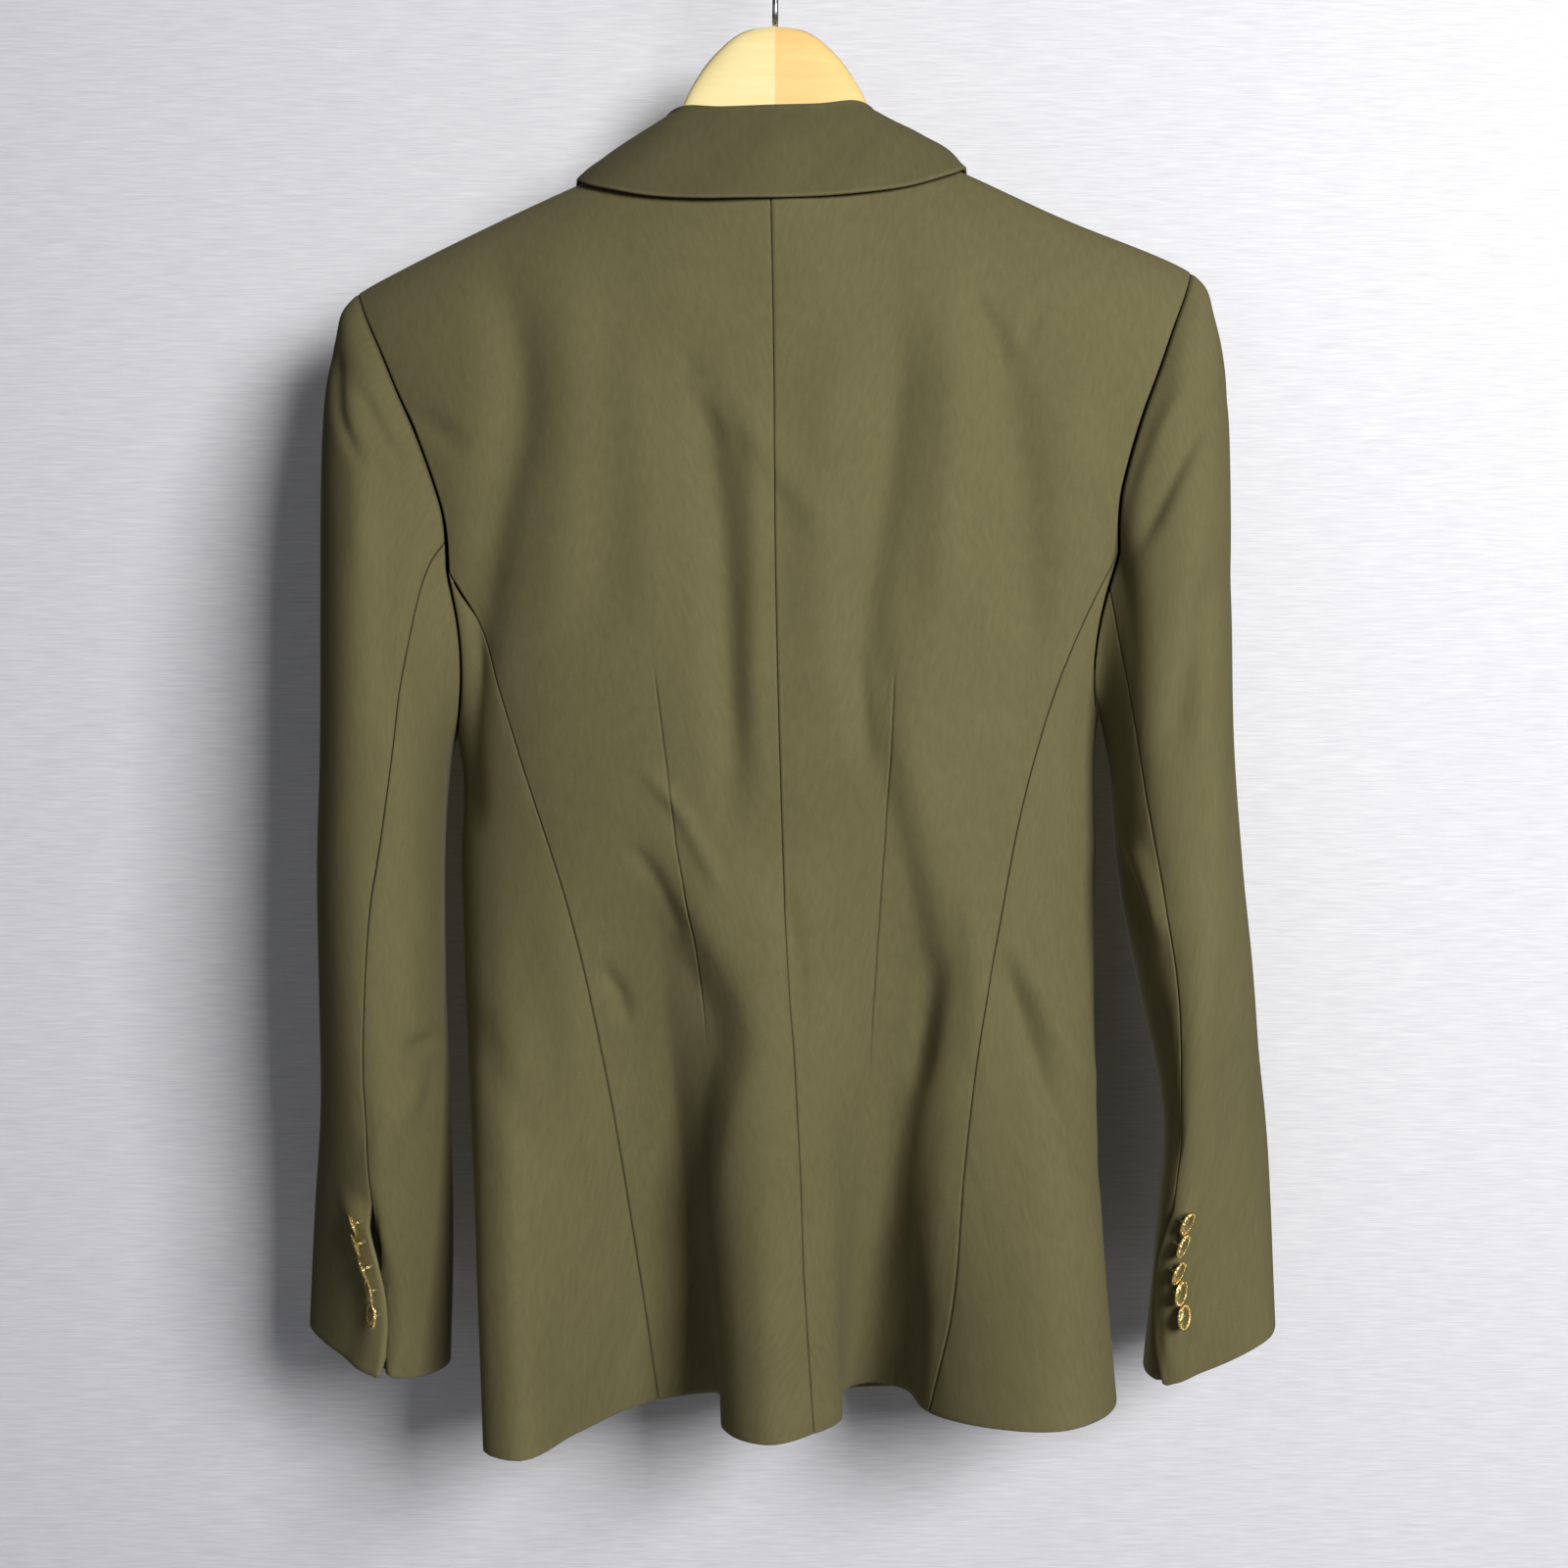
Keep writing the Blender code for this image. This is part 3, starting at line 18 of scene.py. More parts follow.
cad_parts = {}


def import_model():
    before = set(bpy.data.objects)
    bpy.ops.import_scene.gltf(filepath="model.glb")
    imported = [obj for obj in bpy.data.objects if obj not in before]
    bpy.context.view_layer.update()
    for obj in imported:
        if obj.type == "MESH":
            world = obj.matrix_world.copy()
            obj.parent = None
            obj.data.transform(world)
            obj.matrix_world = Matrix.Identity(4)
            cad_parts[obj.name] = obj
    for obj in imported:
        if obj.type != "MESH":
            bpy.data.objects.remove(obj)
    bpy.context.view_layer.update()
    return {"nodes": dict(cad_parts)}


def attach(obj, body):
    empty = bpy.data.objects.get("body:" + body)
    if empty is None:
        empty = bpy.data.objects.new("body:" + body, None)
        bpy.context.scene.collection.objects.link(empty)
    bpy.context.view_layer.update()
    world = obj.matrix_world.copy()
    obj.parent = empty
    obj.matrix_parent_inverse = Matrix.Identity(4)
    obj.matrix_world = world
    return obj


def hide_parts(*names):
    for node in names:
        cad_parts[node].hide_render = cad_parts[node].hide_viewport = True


log = logging.getLogger("blazer")

Rows = tuple[tuple[float, ...], ...]
Socket = bpy.types.NodeSocket


class Side(Enum):
    """A side of the wearer."""

    LEFT = "left"
    RIGHT = "right"

    @property
    def sign(self) -> int:
        """-1 for the wearer's left, 1 for the right."""
        return -1 if self is Side.LEFT else 1


class Face(Enum):
    """The back or the front half of the body."""

    BACK = "back"
    FRONT = "front"

    @property
    def other(self) -> "Face":
        """The half on the other side."""
        return Face.FRONT if self is Face.BACK else Face.BACK


# ---- small tools
def linked(name: str, data: bpy.types.ID) -> bpy.types.Object:
    """A new object in the scene.

    Args:
        name: Its name.
        data: Its mesh, lamp or camera.

    Returns:
        The object, at the origin.
    """
    made = bpy.data.objects.new(name, data)
    bpy.context.collection.objects.link(made)
    return made


class Track:
    """A smooth curve through a short table: a value, or several, for each place."""

    def __init__(self, places: Sequence[float], values: Sequence) -> None:
        """Keep the table in order.

        Args:
            places: Where the table gives its values.
            values: One number, or one row of numbers, for each place.
        """
        order = np.argsort(places)
        self.places = np.asarray(places, float)[order]
        self.values = np.asarray(values, float)[order]
        self.slopes = np.gradient(self.values, self.places, axis=0)

    def __call__(self, place: float | np.ndarray) -> np.ndarray:
        """Read the curve.

        Args:
            place: A place, or an array of them.

        Returns:
            The value at each place.
        """
        place = np.clip(np.asarray(place, float), self.places[0], self.places[-1])
        i = np.clip(np.searchsorted(self.places, place) - 1, 0, len(self.places) - 2)
        span = self.places[i + 1] - self.places[i]
        t = (place - self.places[i]) / span
        if self.values.ndim > 1:
            t, span = t[..., None], span[..., None]
        start, end = self.values[i], self.values[i + 1]
        lead, tail = self.slopes[i] * span, self.slopes[i + 1] * span
        return ((2 * t**3 - 3 * t**2 + 1) * start + (t**3 - 2 * t**2 + t) * lead
                + (3 * t**2 - 2 * t**3) * end + (t**3 - t**2) * tail)


def track_of(rows: Rows) -> Track:
    """A track through rows of a place and its value or values."""
    return Track([row[0] for row in rows],
                 [row[1] if len(row) == 2 else row[1:] for row in rows])


def smooth_step(value: np.ndarray, low: float, high: float) -> np.ndarray:
    """0 below low, 1 above high, and a soft change between them."""
    t = np.clip((np.asarray(value, float) - low) / (high - low), 0.0, 1.0)
    return t * t * (3 - 2 * t)


def bump(distance: np.ndarray, width: float, height: float = 1.0) -> np.ndarray:
    """The height at no distance, and a bell shape of that width around it."""
    return height * np.exp(-(distance / width) ** 2)


def lengths_along(points: np.ndarray | Rows) -> np.ndarray:
    """Length run at each point of a polyline."""
    steps = np.linalg.norm(np.diff(points, axis=0), axis=1)
    return np.concatenate([[0.0], np.cumsum(steps)])


def along(points: np.ndarray, share: float | np.ndarray) -> np.ndarray:
    """Points at shares of a polyline's length."""
    run = lengths_along(points)
    return np.stack([np.interp(np.asarray(share) * run[-1], run, track) for track in points.T], -1)


def smooth_path(rows: Rows, steps: int = 40) -> np.ndarray:
    """A dense smooth path through the places of a table."""
    track = Track(lengths_along(rows), rows)
    return track(np.linspace(0, track.places[-1], steps * len(rows)))


def unit(vectors: np.ndarray) -> np.ndarray:
    """The same directions, one long."""
    return vectors / np.maximum(np.linalg.norm(vectors, axis=-1, keepdims=True), 1e-12)


def spacing(grid: np.ndarray, axis: int) -> np.ndarray:
    """How far a grid's rows or columns lie along it on the whole."""
    steps = np.linalg.norm(np.diff(grid, axis=axis), axis=-1).mean(axis=1 - axis)
    return np.concatenate([[0.0], np.cumsum(np.maximum(steps, 1e-6))])


def grid_normals(grid: np.ndarray, outward: np.ndarray) -> np.ndarray:
    """Normals of a grid of points.

    Args:
        grid: Rows and columns of points.
        outward: A rough outward direction, for all of the grid or for each point.

    Returns:
        A unit normal at each point, on the outward side.
    """
    down = np.gradient(grid, spacing(grid, 0), axis=0)
    across = np.gradient(grid, spacing(grid, 1), axis=1)
    normals = unit(np.cross(across, down))
    turned = np.sum(normals * outward, axis=-1, keepdims=True)
    return normals * (1.0 if np.median(turned) > 0 else -1.0)


def seam_spaced(breaks: Sequence[float], width: float, pitch: float) -> np.ndarray:
    """Column places that lie close together beside each seam.

    Args:
        breaks: Places of the seams, from 0 to 1.
        width: Length that 1 stands for, in metres.
        pitch: Distance between columns away from the seams, in metres.

    Returns:
        Sorted places, the breaks among them.
    """
    near = np.array((0.0, 0.0005, 0.0011, 0.0018, 0.0028, 0.0044)) / width
    places: list[float] = []
    for low, high in zip(breaks, breaks[1:]):
        start, end = low + near, high - near[::-1]
        count = max(int((end[0] - start[-1]) * width / pitch), 2)
        places += [*start, *np.linspace(start[-1], end[0], count + 1)[1:-1], *end[:-1]]
    return np.array([*places, breaks[-1]])


@dataclass(frozen=True)
class Lens:
    """The camera, level with the jacket's middle and square to the wall behind it."""

    place: tuple[float, float, float] = (0.0048, -1.0, -0.4872)
    half_view: float = 0.424        # half the width it sees at one metre
    frame: int = 1600               # width and height of the image

    def seen(self, points: np.ndarray) -> np.ndarray:
        """Where points show in the image.

        Args:
            points: Points as they hang.

        Returns:
            How far right and down each one shows, in image pixels.
        """
        offset = points - np.array(self.place)
        scale = self.frame / 2 / self.half_view / offset[..., 1]
        return np.stack([self.frame / 2 + offset[..., 0] * scale,
                         self.frame / 2 - offset[..., 2] * scale], -1)

    def add(self) -> None:
        """Put the camera in the scene and make it the scene's own."""
        data = bpy.data.cameras.new("camera")
        data.sensor_width = 36.0
        data.lens = data.sensor_width / 2 / self.half_view
        camera = linked("camera", data)
        camera.location = self.place
        camera.rotation_euler = (math.pi / 2, 0, 0)
        bpy.context.scene.camera = camera


# ---- finishes
class Desk:
    """A node tree that nodes are laid out on."""

    def __init__(self, tree: bpy.types.NodeTree) -> None:
        """Take a tree to work on."""
        self.tree = tree
        self.count = 0

    def node(self, kind: str, **settings: object) -> bpy.types.Node:
        """Add a node.

        Args:
            kind: The node's type, without the word ShaderNode.
            **settings: Its own settings.

        Returns:
            The node.
        """
        made = self.tree.nodes.new("ShaderNode" + kind)
        for name, value in settings.items():
            setattr(made, name, value)
        made.location = (180 * (self.count % 8), -220 * (self.count // 8))
        self.count += 1
        return made

    def feed(self, target: Socket, value: object) -> None:
        """Link a socket to another, or give it a number or a colour.

        Args:
            target: The socket that is fed.
            value: Another node's socket, or the value itself.
        """
        if isinstance(value, bpy.types.NodeSocket):
            self.tree.links.new(value, target)
        else:
            target.default_value = value

    def made(self, kind: str, output: str | int, inputs: dict[str | int, object],
             **settings: object) -> Socket:
        """Add a node, feed it and give its result.

        Args:
            kind: The node's type, without the word ShaderNode.
            output: Name or number of the output that is wanted.
            inputs: What feeds each of its inputs.
            **settings: Its own settings.

        Returns:
            The output's socket.
        """
        node = self.node(kind, **settings)
        for name, value in inputs.items():
            self.feed(node.inputs[name], value)
        return node.outputs[output]

    def maths(self, operation: str, *values: object) -> Socket:
        """The result of a Math node on up to three values."""
        return self.made("Math", 0, dict(enumerate(values)), operation=operation)

    def swing(self, value: Socket, middle: float, size: object) -> Socket:
        """The value less its middle, times a size."""
        return self.maths("MULTIPLY", self.maths("SUBTRACT", value, middle), size)

    def blend(self, share: object, first: object, second: object) -> Socket:
        """A mix of two colours, by the share of the second one."""
        return self.made("Mix", 2, {0: share, 6: first, 7: second}, data_type="RGBA")

    def noise(self, vector: Socket, scale: object, detail: float = 2.0,
              roughness: float = 0.5) -> Socket:
        """Noise from 0 to 1 over a vector."""
        return self.made("TexNoise", "Fac", {"Vector": vector, "Scale": scale,
                                             "Detail": detail, "Roughness": roughness})

    def stretched(self, vector: Socket, scale: tuple[float, float, float]) -> Socket:
        """The vector scaled along its axes."""
        return self.made("Mapping", "Vector", {"Vector": vector, "Scale": scale})

    def ranged(self, value: Socket, low: float, high: float) -> Socket:
        """The value from low to high, stretched to run from 0 to 1."""
        return self.made("MapRange", "Result",
                         {"Value": value, "From Min": low, "From Max": high})


class Effect:
    """A shader node group with named sockets."""

    def __init__(self, name: str, inputs: dict[str, str], outputs: dict[str, str]) -> None:
        """Make the group's sockets.

        Args:
            name: The group's name.
            inputs: Each input's name and its kind, Float, Color or Vector.
            outputs: The same for the outputs.
        """
        self.tree = bpy.data.node_groups.new(name, "ShaderNodeTree")
        for in_out, sockets in (("INPUT", inputs), ("OUTPUT", outputs)):
            for label, kind in sockets.items():
                self.tree.interface.new_socket(
                    name=label, in_out=in_out, socket_type="NodeSocket" + kind)
        self.start = self.tree.nodes.new("NodeGroupInput").outputs
        self.end = self.tree.nodes.new("NodeGroupOutput").inputs
        self.desk = Desk(self.tree)

    def place(self, desk: Desk, **values: object) -> bpy.types.NodeOutputs:
        """Place the group in a material.

        Args:
            desk: The material's desk.
            **values: What feeds each input; an underscore stands for a space.

        Returns:
            The placed group's outputs.
        """
        made = desk.node("Group", node_tree=self.tree)
        for label, value in values.items():
            desk.feed(made.inputs[label.replace("_", " ")], value)
        return made.outputs


def weave_effect() -> Effect:
    """Slanted ribs of a twill, broken up by its yarns.

    Returns:
        The effect: Tone runs from 0 to 1 about 0.5, Height is the relief.
    """
    effect = Effect("weave", {"Place": "Vector", "Ribs": "Float", "Slub": "Float"},
                    {"Tone": "Float", "Height": "Float"})
    desk, place = effect.desk, effect.start["Place"]
    waves = []
    for direction in ((0.86, 0.50, 0.0), (0.30, -0.95, 0.0)):
        across = desk.made("VectorMath", "Value", {0: place, 1: direction},
                           operation="DOT_PRODUCT")
        turns = desk.maths("MULTIPLY", across, effect.start["Ribs"])
        waves.append(desk.maths("SINE", desk.maths("MULTIPLY", turns, math.tau)))
    yarn = desk.maths("MULTIPLY", waves[0], desk.maths("MULTIPLY", waves[1], 0.35))
    fibre = desk.noise(place, 1500.0, 3.0, 0.7)
    slub = desk.noise(desk.stretched(place, (1.0, 0.35, 1.0)), 340.0, 3.0, 0.6)
    ribs = desk.maths("ADD", desk.maths("MULTIPLY", waves[0], 0.022),
                      desk.maths("MULTIPLY", yarn, 0.022))
    relief = desk.maths("ADD", ribs, desk.maths("MULTIPLY", fibre, 0.74))
    tone = desk.maths("ADD", desk.swing(relief, 0.35, 0.50),
                      desk.swing(slub, 0.5, effect.start["Slub"]))
    desk.feed(effect.end["Height"], relief)
    desk.feed(effect.end["Tone"], desk.maths("ADD", tone, 0.5))
    return effect


def mottle_effect() -> Effect:
    """Broad uneven patches, as on handled cloth, wood or plaster.

    Returns:
        The effect: Mask runs from 0 to 1.
    """
    effect = Effect("mottle", {"Place": "Vector", "Size": "Float"}, {"Mask": "Float"})
    desk = effect.desk
    scale = desk.maths("DIVIDE", 1.0, effect.start["Size"])
    cloud = desk.noise(effect.start["Place"], scale, 3.0)
    desk.feed(effect.end["Mask"], desk.ranged(cloud, 0.3, 0.7))
    return effect


@dataclass(frozen=True)
class Effects:
    """The effects that the finishes share."""

    weave: Effect
    mottle: Effect


class Finish:
    """A material that is being made."""

    def __init__(self, name: str, roughness: float, metallic: float = 0.0) -> None:
        """Start a material from its even values.

        Args:
            name: The material's name.
            roughness: Its even roughness.
            metallic: 1 for bare metal.
        """
        self.material = bpy.data.materials.new(name)
        self.material.use_nodes = True
        self.desk = Desk(self.material.node_tree)
        self.shader = self.material.node_tree.nodes["Principled BSDF"]
        self.give(Roughness=roughness, Metallic=metallic)

    def give(self, **values: object) -> None:
        """Feed the shader's inputs; an underscore stands for a space."""
        for name, value in values.items():
            self.desk.feed(self.shader.inputs[name.replace("_", " ")], value)

    def read(self, output: str) -> Socket:
        """The piece's own coordinates: Object or UV."""
        return self.desk.node("TexCoord").outputs[output]

    def attribute(self, name: str) -> Socket:
        """A value painted on the piece's points."""
        return self.desk.node("Attribute", attribute_name=name).outputs["Fac"]

    def relief(self, height: Socket, distance: float, strength: float = 1.0) -> None:
        """Raise the surface by a height, at a real depth in metres."""
        self.give(Normal=self.desk.made("Bump", "Normal", {
            "Strength": strength, "Distance": distance, "Height": height}))


@dataclass(frozen=True)
class Twill:
    """Brushed wool twill."""

    name: str = "olive_twill"
    deep: tuple[float, ...] = (0.082, 0.072, 0.030, 1.0)
    pale: tuple[float, ...] = (0.162, 0.144, 0.067, 1.0)
    # colour of the seam lines, and of the painted shade beside the sleeve vents
    seam: tuple[float, ...] = (0.030, 0.025, 0.012, 1.0)
    worn: tuple[float, ...] = (0.215, 0.194, 0.104, 1.0)
    ribs: float = 980.0             # ribs in a metre
    slub: float = 0.55              # how uneven its tone is
    patches: float = 0.045          # size of its broad uneven patches, in metres
    depth: float = 0.00012          # depth of its relief, in metres
    roughness: float = 0.92
    sheen: float = 0.06

    def made(self, effects: Effects) -> bpy.types.Material:
        """Make the material.

        Args:
            effects: The shared effects.

        Returns:
            The material, which reads the cloth's UV map in metres.
        """
        finish = Finish(self.name, self.roughness)
        desk, place = finish.desk, finish.read("UV")
        weave = effects.weave.place(desk, Place=place, Ribs=self.ribs, Slub=self.slub)
        mottle = effects.mottle.place(desk, Place=place, Size=self.patches)
        tone = desk.maths("ADD", weave["Tone"], desk.swing(mottle["Mask"], 0.5, 0.14))
        cloth = desk.blend(tone, self.deep, self.pale)
        cloth = desk.blend(finish.attribute("worn"), cloth, self.worn)
        # Darkened along the seam lines, and beside the sleeve vents by painted shade.
        cloth = desk.blend(finish.attribute("seam"), cloth, self.seam)
        finish.give(Base_Color=cloth, Specular_IOR_Level=0.25, Sheen_Weight=self.sheen,
                    Sheen_Roughness=0.45, Sheen_Tint=(0.85, 0.80, 0.62, 1.0))
        finish.relief(weave["Height"], self.depth, 0.8)
        return finish.material


@dataclass(frozen=True)
class Yarn:
    """Smooth yarn with a faint twist: the lining's satin, or sewing thread."""

    name: str
    deep: tuple[float, ...]
    pale: tuple[float, ...]
    roughness: float
    ribs: float                     # ribs in a metre
    slub: float                     # how uneven its tone is
    depth: float                    # depth of its ribs, in metres
    strength: float                 # how much of that relief shows
    source: str = "Object"          # the coordinates that it reads

    def made(self, effects: Effects) -> bpy.types.Material:
        """Make the material.

        Args:
            effects: The shared effects.

        Returns:
            The material.
        """
        finish = Finish(self.name, self.roughness)
        weave = effects.weave.place(finish.desk, Place=finish.read(self.source),
                                    Ribs=self.ribs, Slub=self.slub)
        finish.give(Base_Color=finish.desk.blend(weave["Tone"], self.deep, self.pale),
                    Sheen_Weight=0.2)
        finish.relief(weave["Height"], self.depth, self.strength)
        return finish.material


@dataclass(frozen=True)
class Wood:
    """Clear-lacquered pale wood, with its grain along the arms."""

    name: str
    pale: tuple[float, ...]
    deep: tuple[float, ...]
    roughness: float = 0.38
    grain: tuple[float, float, float] = (14.0, 60.0, 130.0)     # how fine along each axis
    pores: tuple[float, float, float] = (90.0, 500.0, 900.0)

    def made(self, effects: Effects) -> bpy.types.Material:
        """Make the material.

        Args:
            effects: The shared effects.

        Returns:
            The material.
        """
        finish = Finish(self.name, self.roughness)
        desk, place = finish.desk, finish.read("Object")
        grain = desk.noise(desk.stretched(place, self.grain), 1.6, 4.0, 0.6)
        pores = desk.noise(desk.stretched(place, self.pores), 1.0, 2.0, 0.6)
        mottle = effects.mottle.place(desk, Place=place, Size=0.05)
        shade = desk.maths("ADD", desk.maths("MULTIPLY", desk.ranged(grain, 0.35, 0.65), 0.55),
                           desk.maths("MULTIPLY", mottle["Mask"], 0.25))
        shade = desk.maths("ADD", shade, desk.maths("MULTIPLY", desk.ranged(pores, 0.6, 0.8), 0.2))
        finish.give(Base_Color=desk.blend(shade, self.pale, self.deep),
                    Roughness=desk.maths("MULTIPLY_ADD", shade, 0.12, self.roughness - 0.05),
                    Coat_Weight=0.25, Coat_Roughness=0.22)
        finish.relief(pores, 0.00006, 0.4)
        return finish.material


@dataclass(frozen=True)
class Metal:
    """Polished or plated metal with a little handling wear."""

    name: str
    bright: tuple[float, ...]
    dull: tuple[float, ...]
    roughness: float
    stipple: float = 0.0            # dents in a metre, on a cast face
    dent: float = 0.00045           # depth of a dent, in metres
    streaks: tuple[float, float, float] = (1.0, 1.0, 1.0)

    def made(self, effects: Effects) -> bpy.types.Material:
        """Make the material.

        Args:
            effects: The shared effects.

        Returns:
            The material.
        """
        finish = Finish(self.name, self.roughness, 1.0)
        desk, place = finish.desk, finish.read("Object")
        mottle = effects.mottle.place(desk, Place=place, Size=0.004)
        wear = desk.noise(desk.stretched(place, self.streaks), 900.0, 3.0, 0.6)
        shade = desk.maths("MULTIPLY", desk.maths("ADD", mottle["Mask"], wear), 0.5)
        finish.give(Base_Color=desk.blend(shade, self.bright, self.dull),
                    Roughness=desk.maths("MULTIPLY_ADD", wear, 0.18, self.roughness - 0.07))
        if self.stipple:
            dents = desk.made("TexVoronoi", "Distance", {"Vector": place, "Scale": self.stipple},
                              feature="F1")
            finish.relief(dents, self.dent, 0.9)
        else:
            finish.relief(wear, 0.00002, 0.9)
        return finish.material


# ---- folds
FOLD_DEPTH = 2.1                # all folds are this much deeper than their tables


@dataclass(frozen=True)
class Fold:
    """A soft trough or ridge over the cloth, along a line as the camera sees it."""

    line: Rows                  # image places along it
    width: float                # image pixels
    height: float               # metres; below 0 for a trough
    fade: float = 40.0          # image pixels over which each end dies out
    lean: float = 0.0           # above 0, steeper on the image's right side

    def relief(self, seen: np.ndarray) -> np.ndarray:
        """How far the fold lifts the cloth.

        Args:
            seen: Where the cloth's points show in the image.

        Returns:
            A height at each point.
        """
        path = smooth_path(self.line, 6) if len(self.line) > 2 else np.array(self.line)
        run = lengths_along(path)
        nearest = np.full(seen.shape[:-1], 1e9)
        reached = np.zeros(seen.shape[:-1])
        beside = np.zeros(seen.shape[:-1])
        for first, second, start in zip(path, path[1:], run):
            step = second - first
            length = max(float(np.linalg.norm(step)), 1e-9)
            t = np.clip(((seen - first) @ step) / length**2, 0.0, 1.0)
            distance = np.linalg.norm(seen - (first + t[..., None] * step), axis=-1)
            closer = distance < nearest
            nearest = np.where(closer, distance, nearest)
            reached = np.where(closer, start + t * length, reached)
            beside = np.where(closer, (step[1] * (seen[..., 0] - first[0])
                                       - step[0] * (seen[..., 1] - first[1])) / length, beside)
        ends = np.minimum(reached, run[-1] - reached)
        width = self.width * (1 - self.lean * np.clip(beside / self.width, -1, 1))
        return (self.height * FOLD_DEPTH * bump(nearest / width, 1.0)
                * smooth_step(ends, -0.2 * self.fade, self.fade))


BACK_FOLDS = (
    Fold(((500, 250), (524, 350), (526, 430), (504, 530), (486, 640), (478, 740)),
         25, -0.0030, 150),
    Fold(((575, 240), (590, 420), (575, 560), (556, 700)), 30, 0.0016, 150),
    Fold(((411, 416), (482, 463)), 12, -0.0012),
    Fold(((690, 362), (722, 400), (752, 442)), 9, -0.0014, 24),
    Fold(((690, 360), (730, 410), (775, 452), (805, 492), (848, 552)), 16, 0.0013, 50, -0.4),
    Fold(((700, 378), (728, 408), (748, 452)), 8, 0.0012, 20),
    Fold(((706, 350), (722, 440), (736, 560), (742, 680), (748, 780), (742, 860)),
         19, -0.0028, 120),
    Fold(((768, 380), (772, 560), (768, 700), (764, 800)), 16, 0.0012, 120),
    Fold(((640, 300), (652, 420), (660, 560), (664, 660)), 30, 0.0014, 120),
    Fold(((918, 290), (914, 400), (900, 520), (884, 620), (890, 700), (900, 780)),
         23, -0.0028, 130),
    Fold(((850, 300), (846, 460), (836, 600), (834, 740)), 28, 0.0013, 140),
    Fold(((985, 296), (1012, 330), (1032, 370)), 8, -0.0018, 20),
    Fold(((1062, 306), (1054, 330), (1045, 352)), 7, -0.0012, 16),
    Fold(((1010, 290), (1034, 420), (1050, 540), (1052, 640), (1036, 760)), 26, -0.0032, 140),
    Fold(((966, 280), (972, 420), (962, 560), (948, 700)), 24, 0.0020, 140),
    Fold(((1100, 320), (1104, 440), (1094, 560)), 24, 0.0012, 110),
    Fold(((912, 690), (938, 804), (958, 890), (972, 960), (973, 1030), (962, 1110), (952, 1180),
          (946, 1270), (938, 1350)), 36, 0.0029, 100, -0.45),
    Fold(((872, 640), (880, 720), (886, 790)), 12, -0.0014, 50, 0.3),
    Fold(((650, 780), (690, 822), (716, 866), (742, 910)), 8, 0.0011, 40),
    Fold(((680, 830), (708, 905), (738, 960), (768, 1012), (778, 1062), (766, 1130), (757, 1200),
          (750, 1300)), 48, 0.0038, 120, -0.42),
    Fold(((690, 868), (708, 905), (738, 960), (768, 1012), (778, 1062), (766, 1130), (758, 1200)),
         24, 0.0007, 70, -0.4),
    Fold(((640, 860), (672, 900), (700, 960)), 9, -0.0009, 30),
    Fold(((612, 985), (634, 1020), (640, 1048)), 9, -0.0013, 20),
    Fold(((800, 900), (812, 990), (810, 1060)), 12, -0.0012, 40),
    Fold(((960, 960), (948, 1040), (934, 1120)), 16, -0.0022, 50),
    Fold(((1019, 966), (1040, 1030), (1064, 1100), (1126, 1216)), 12, -0.0022, 40),
    Fold(((1046, 980), (1082, 1060), (1120, 1120)), 14, 0.0016, 40),
    Fold(((984, 900), (996, 1000), (990, 1100)), 12, 0.0010, 50),
    Fold(((560, 900), (590, 1080), (610, 1240)), 26, 0.0012, 80),
    Fold(((478, 640), (474, 740), (480, 860)), 16, -0.0018, 50),
    Fold(((470, 1010), (520, 1120), (560, 1200)), 18, -0.0010, 60),
    Fold(((450, 541), (620, 538), (900, 540), (1080, 546)), 3.0, -0.00035, 60),
)

SLEEVE_FOLDS = (
    Fold(((343, 352), (350, 430), (372, 478)), 7, -0.0011, 24),
    Fold(((366, 398), (388, 438), (412, 472)), 7, -0.0010, 22),
    Fold(((352, 380), (366, 470), (368, 600)), 16, 0.0012, 60),
    Fold(((400, 520), (392, 640), (396, 760)), 18, -0.0012, 60),
    Fold(((455, 1048), (436, 1066), (410, 1072)), 9, -0.0020, 20),
    Fold(((450, 1068), (440, 1110), (430, 1146)), 9, -0.0014, 24),
    Fold(((446, 1090), (400, 1150), (372, 1220)), 16, 0.0012, 50),
    Fold(((410, 900), (400, 1000), (404, 1080)), 16, -0.0010, 50),
    Fold(((1250, 396), (1206, 470), (1158, 562)), 10, -0.0016, 40),
    Fold(((1222, 380), (1184, 440), (1148, 520)), 12, 0.0012, 40),
    Fold(((1141, 458), (1158, 470)), 6, -0.0009, 10),
    Fold(((1248, 560), (1218, 660), (1196, 780)), 16, -0.0016, 60),
    Fold(((1228, 640), (1236, 780), (1244, 900)), 14, 0.0010, 60),
    Fold(((1130, 858), (1150, 900), (1168, 956)), 10, -0.0022, 26),
    Fold(((1148, 850), (1168, 900), (1184, 960)), 10, 0.0014, 30),
    Fold(((1140, 960), (1158, 1010), (1162, 1080)), 10, -0.0014, 30),
    Fold(((1176, 1000), (1186, 1100), (1200, 1200)), 12, -0.0012, 50),
    Fold(((1250, 960), (1256, 1100), (1262, 1220)), 18, -0.0014, 60),
)

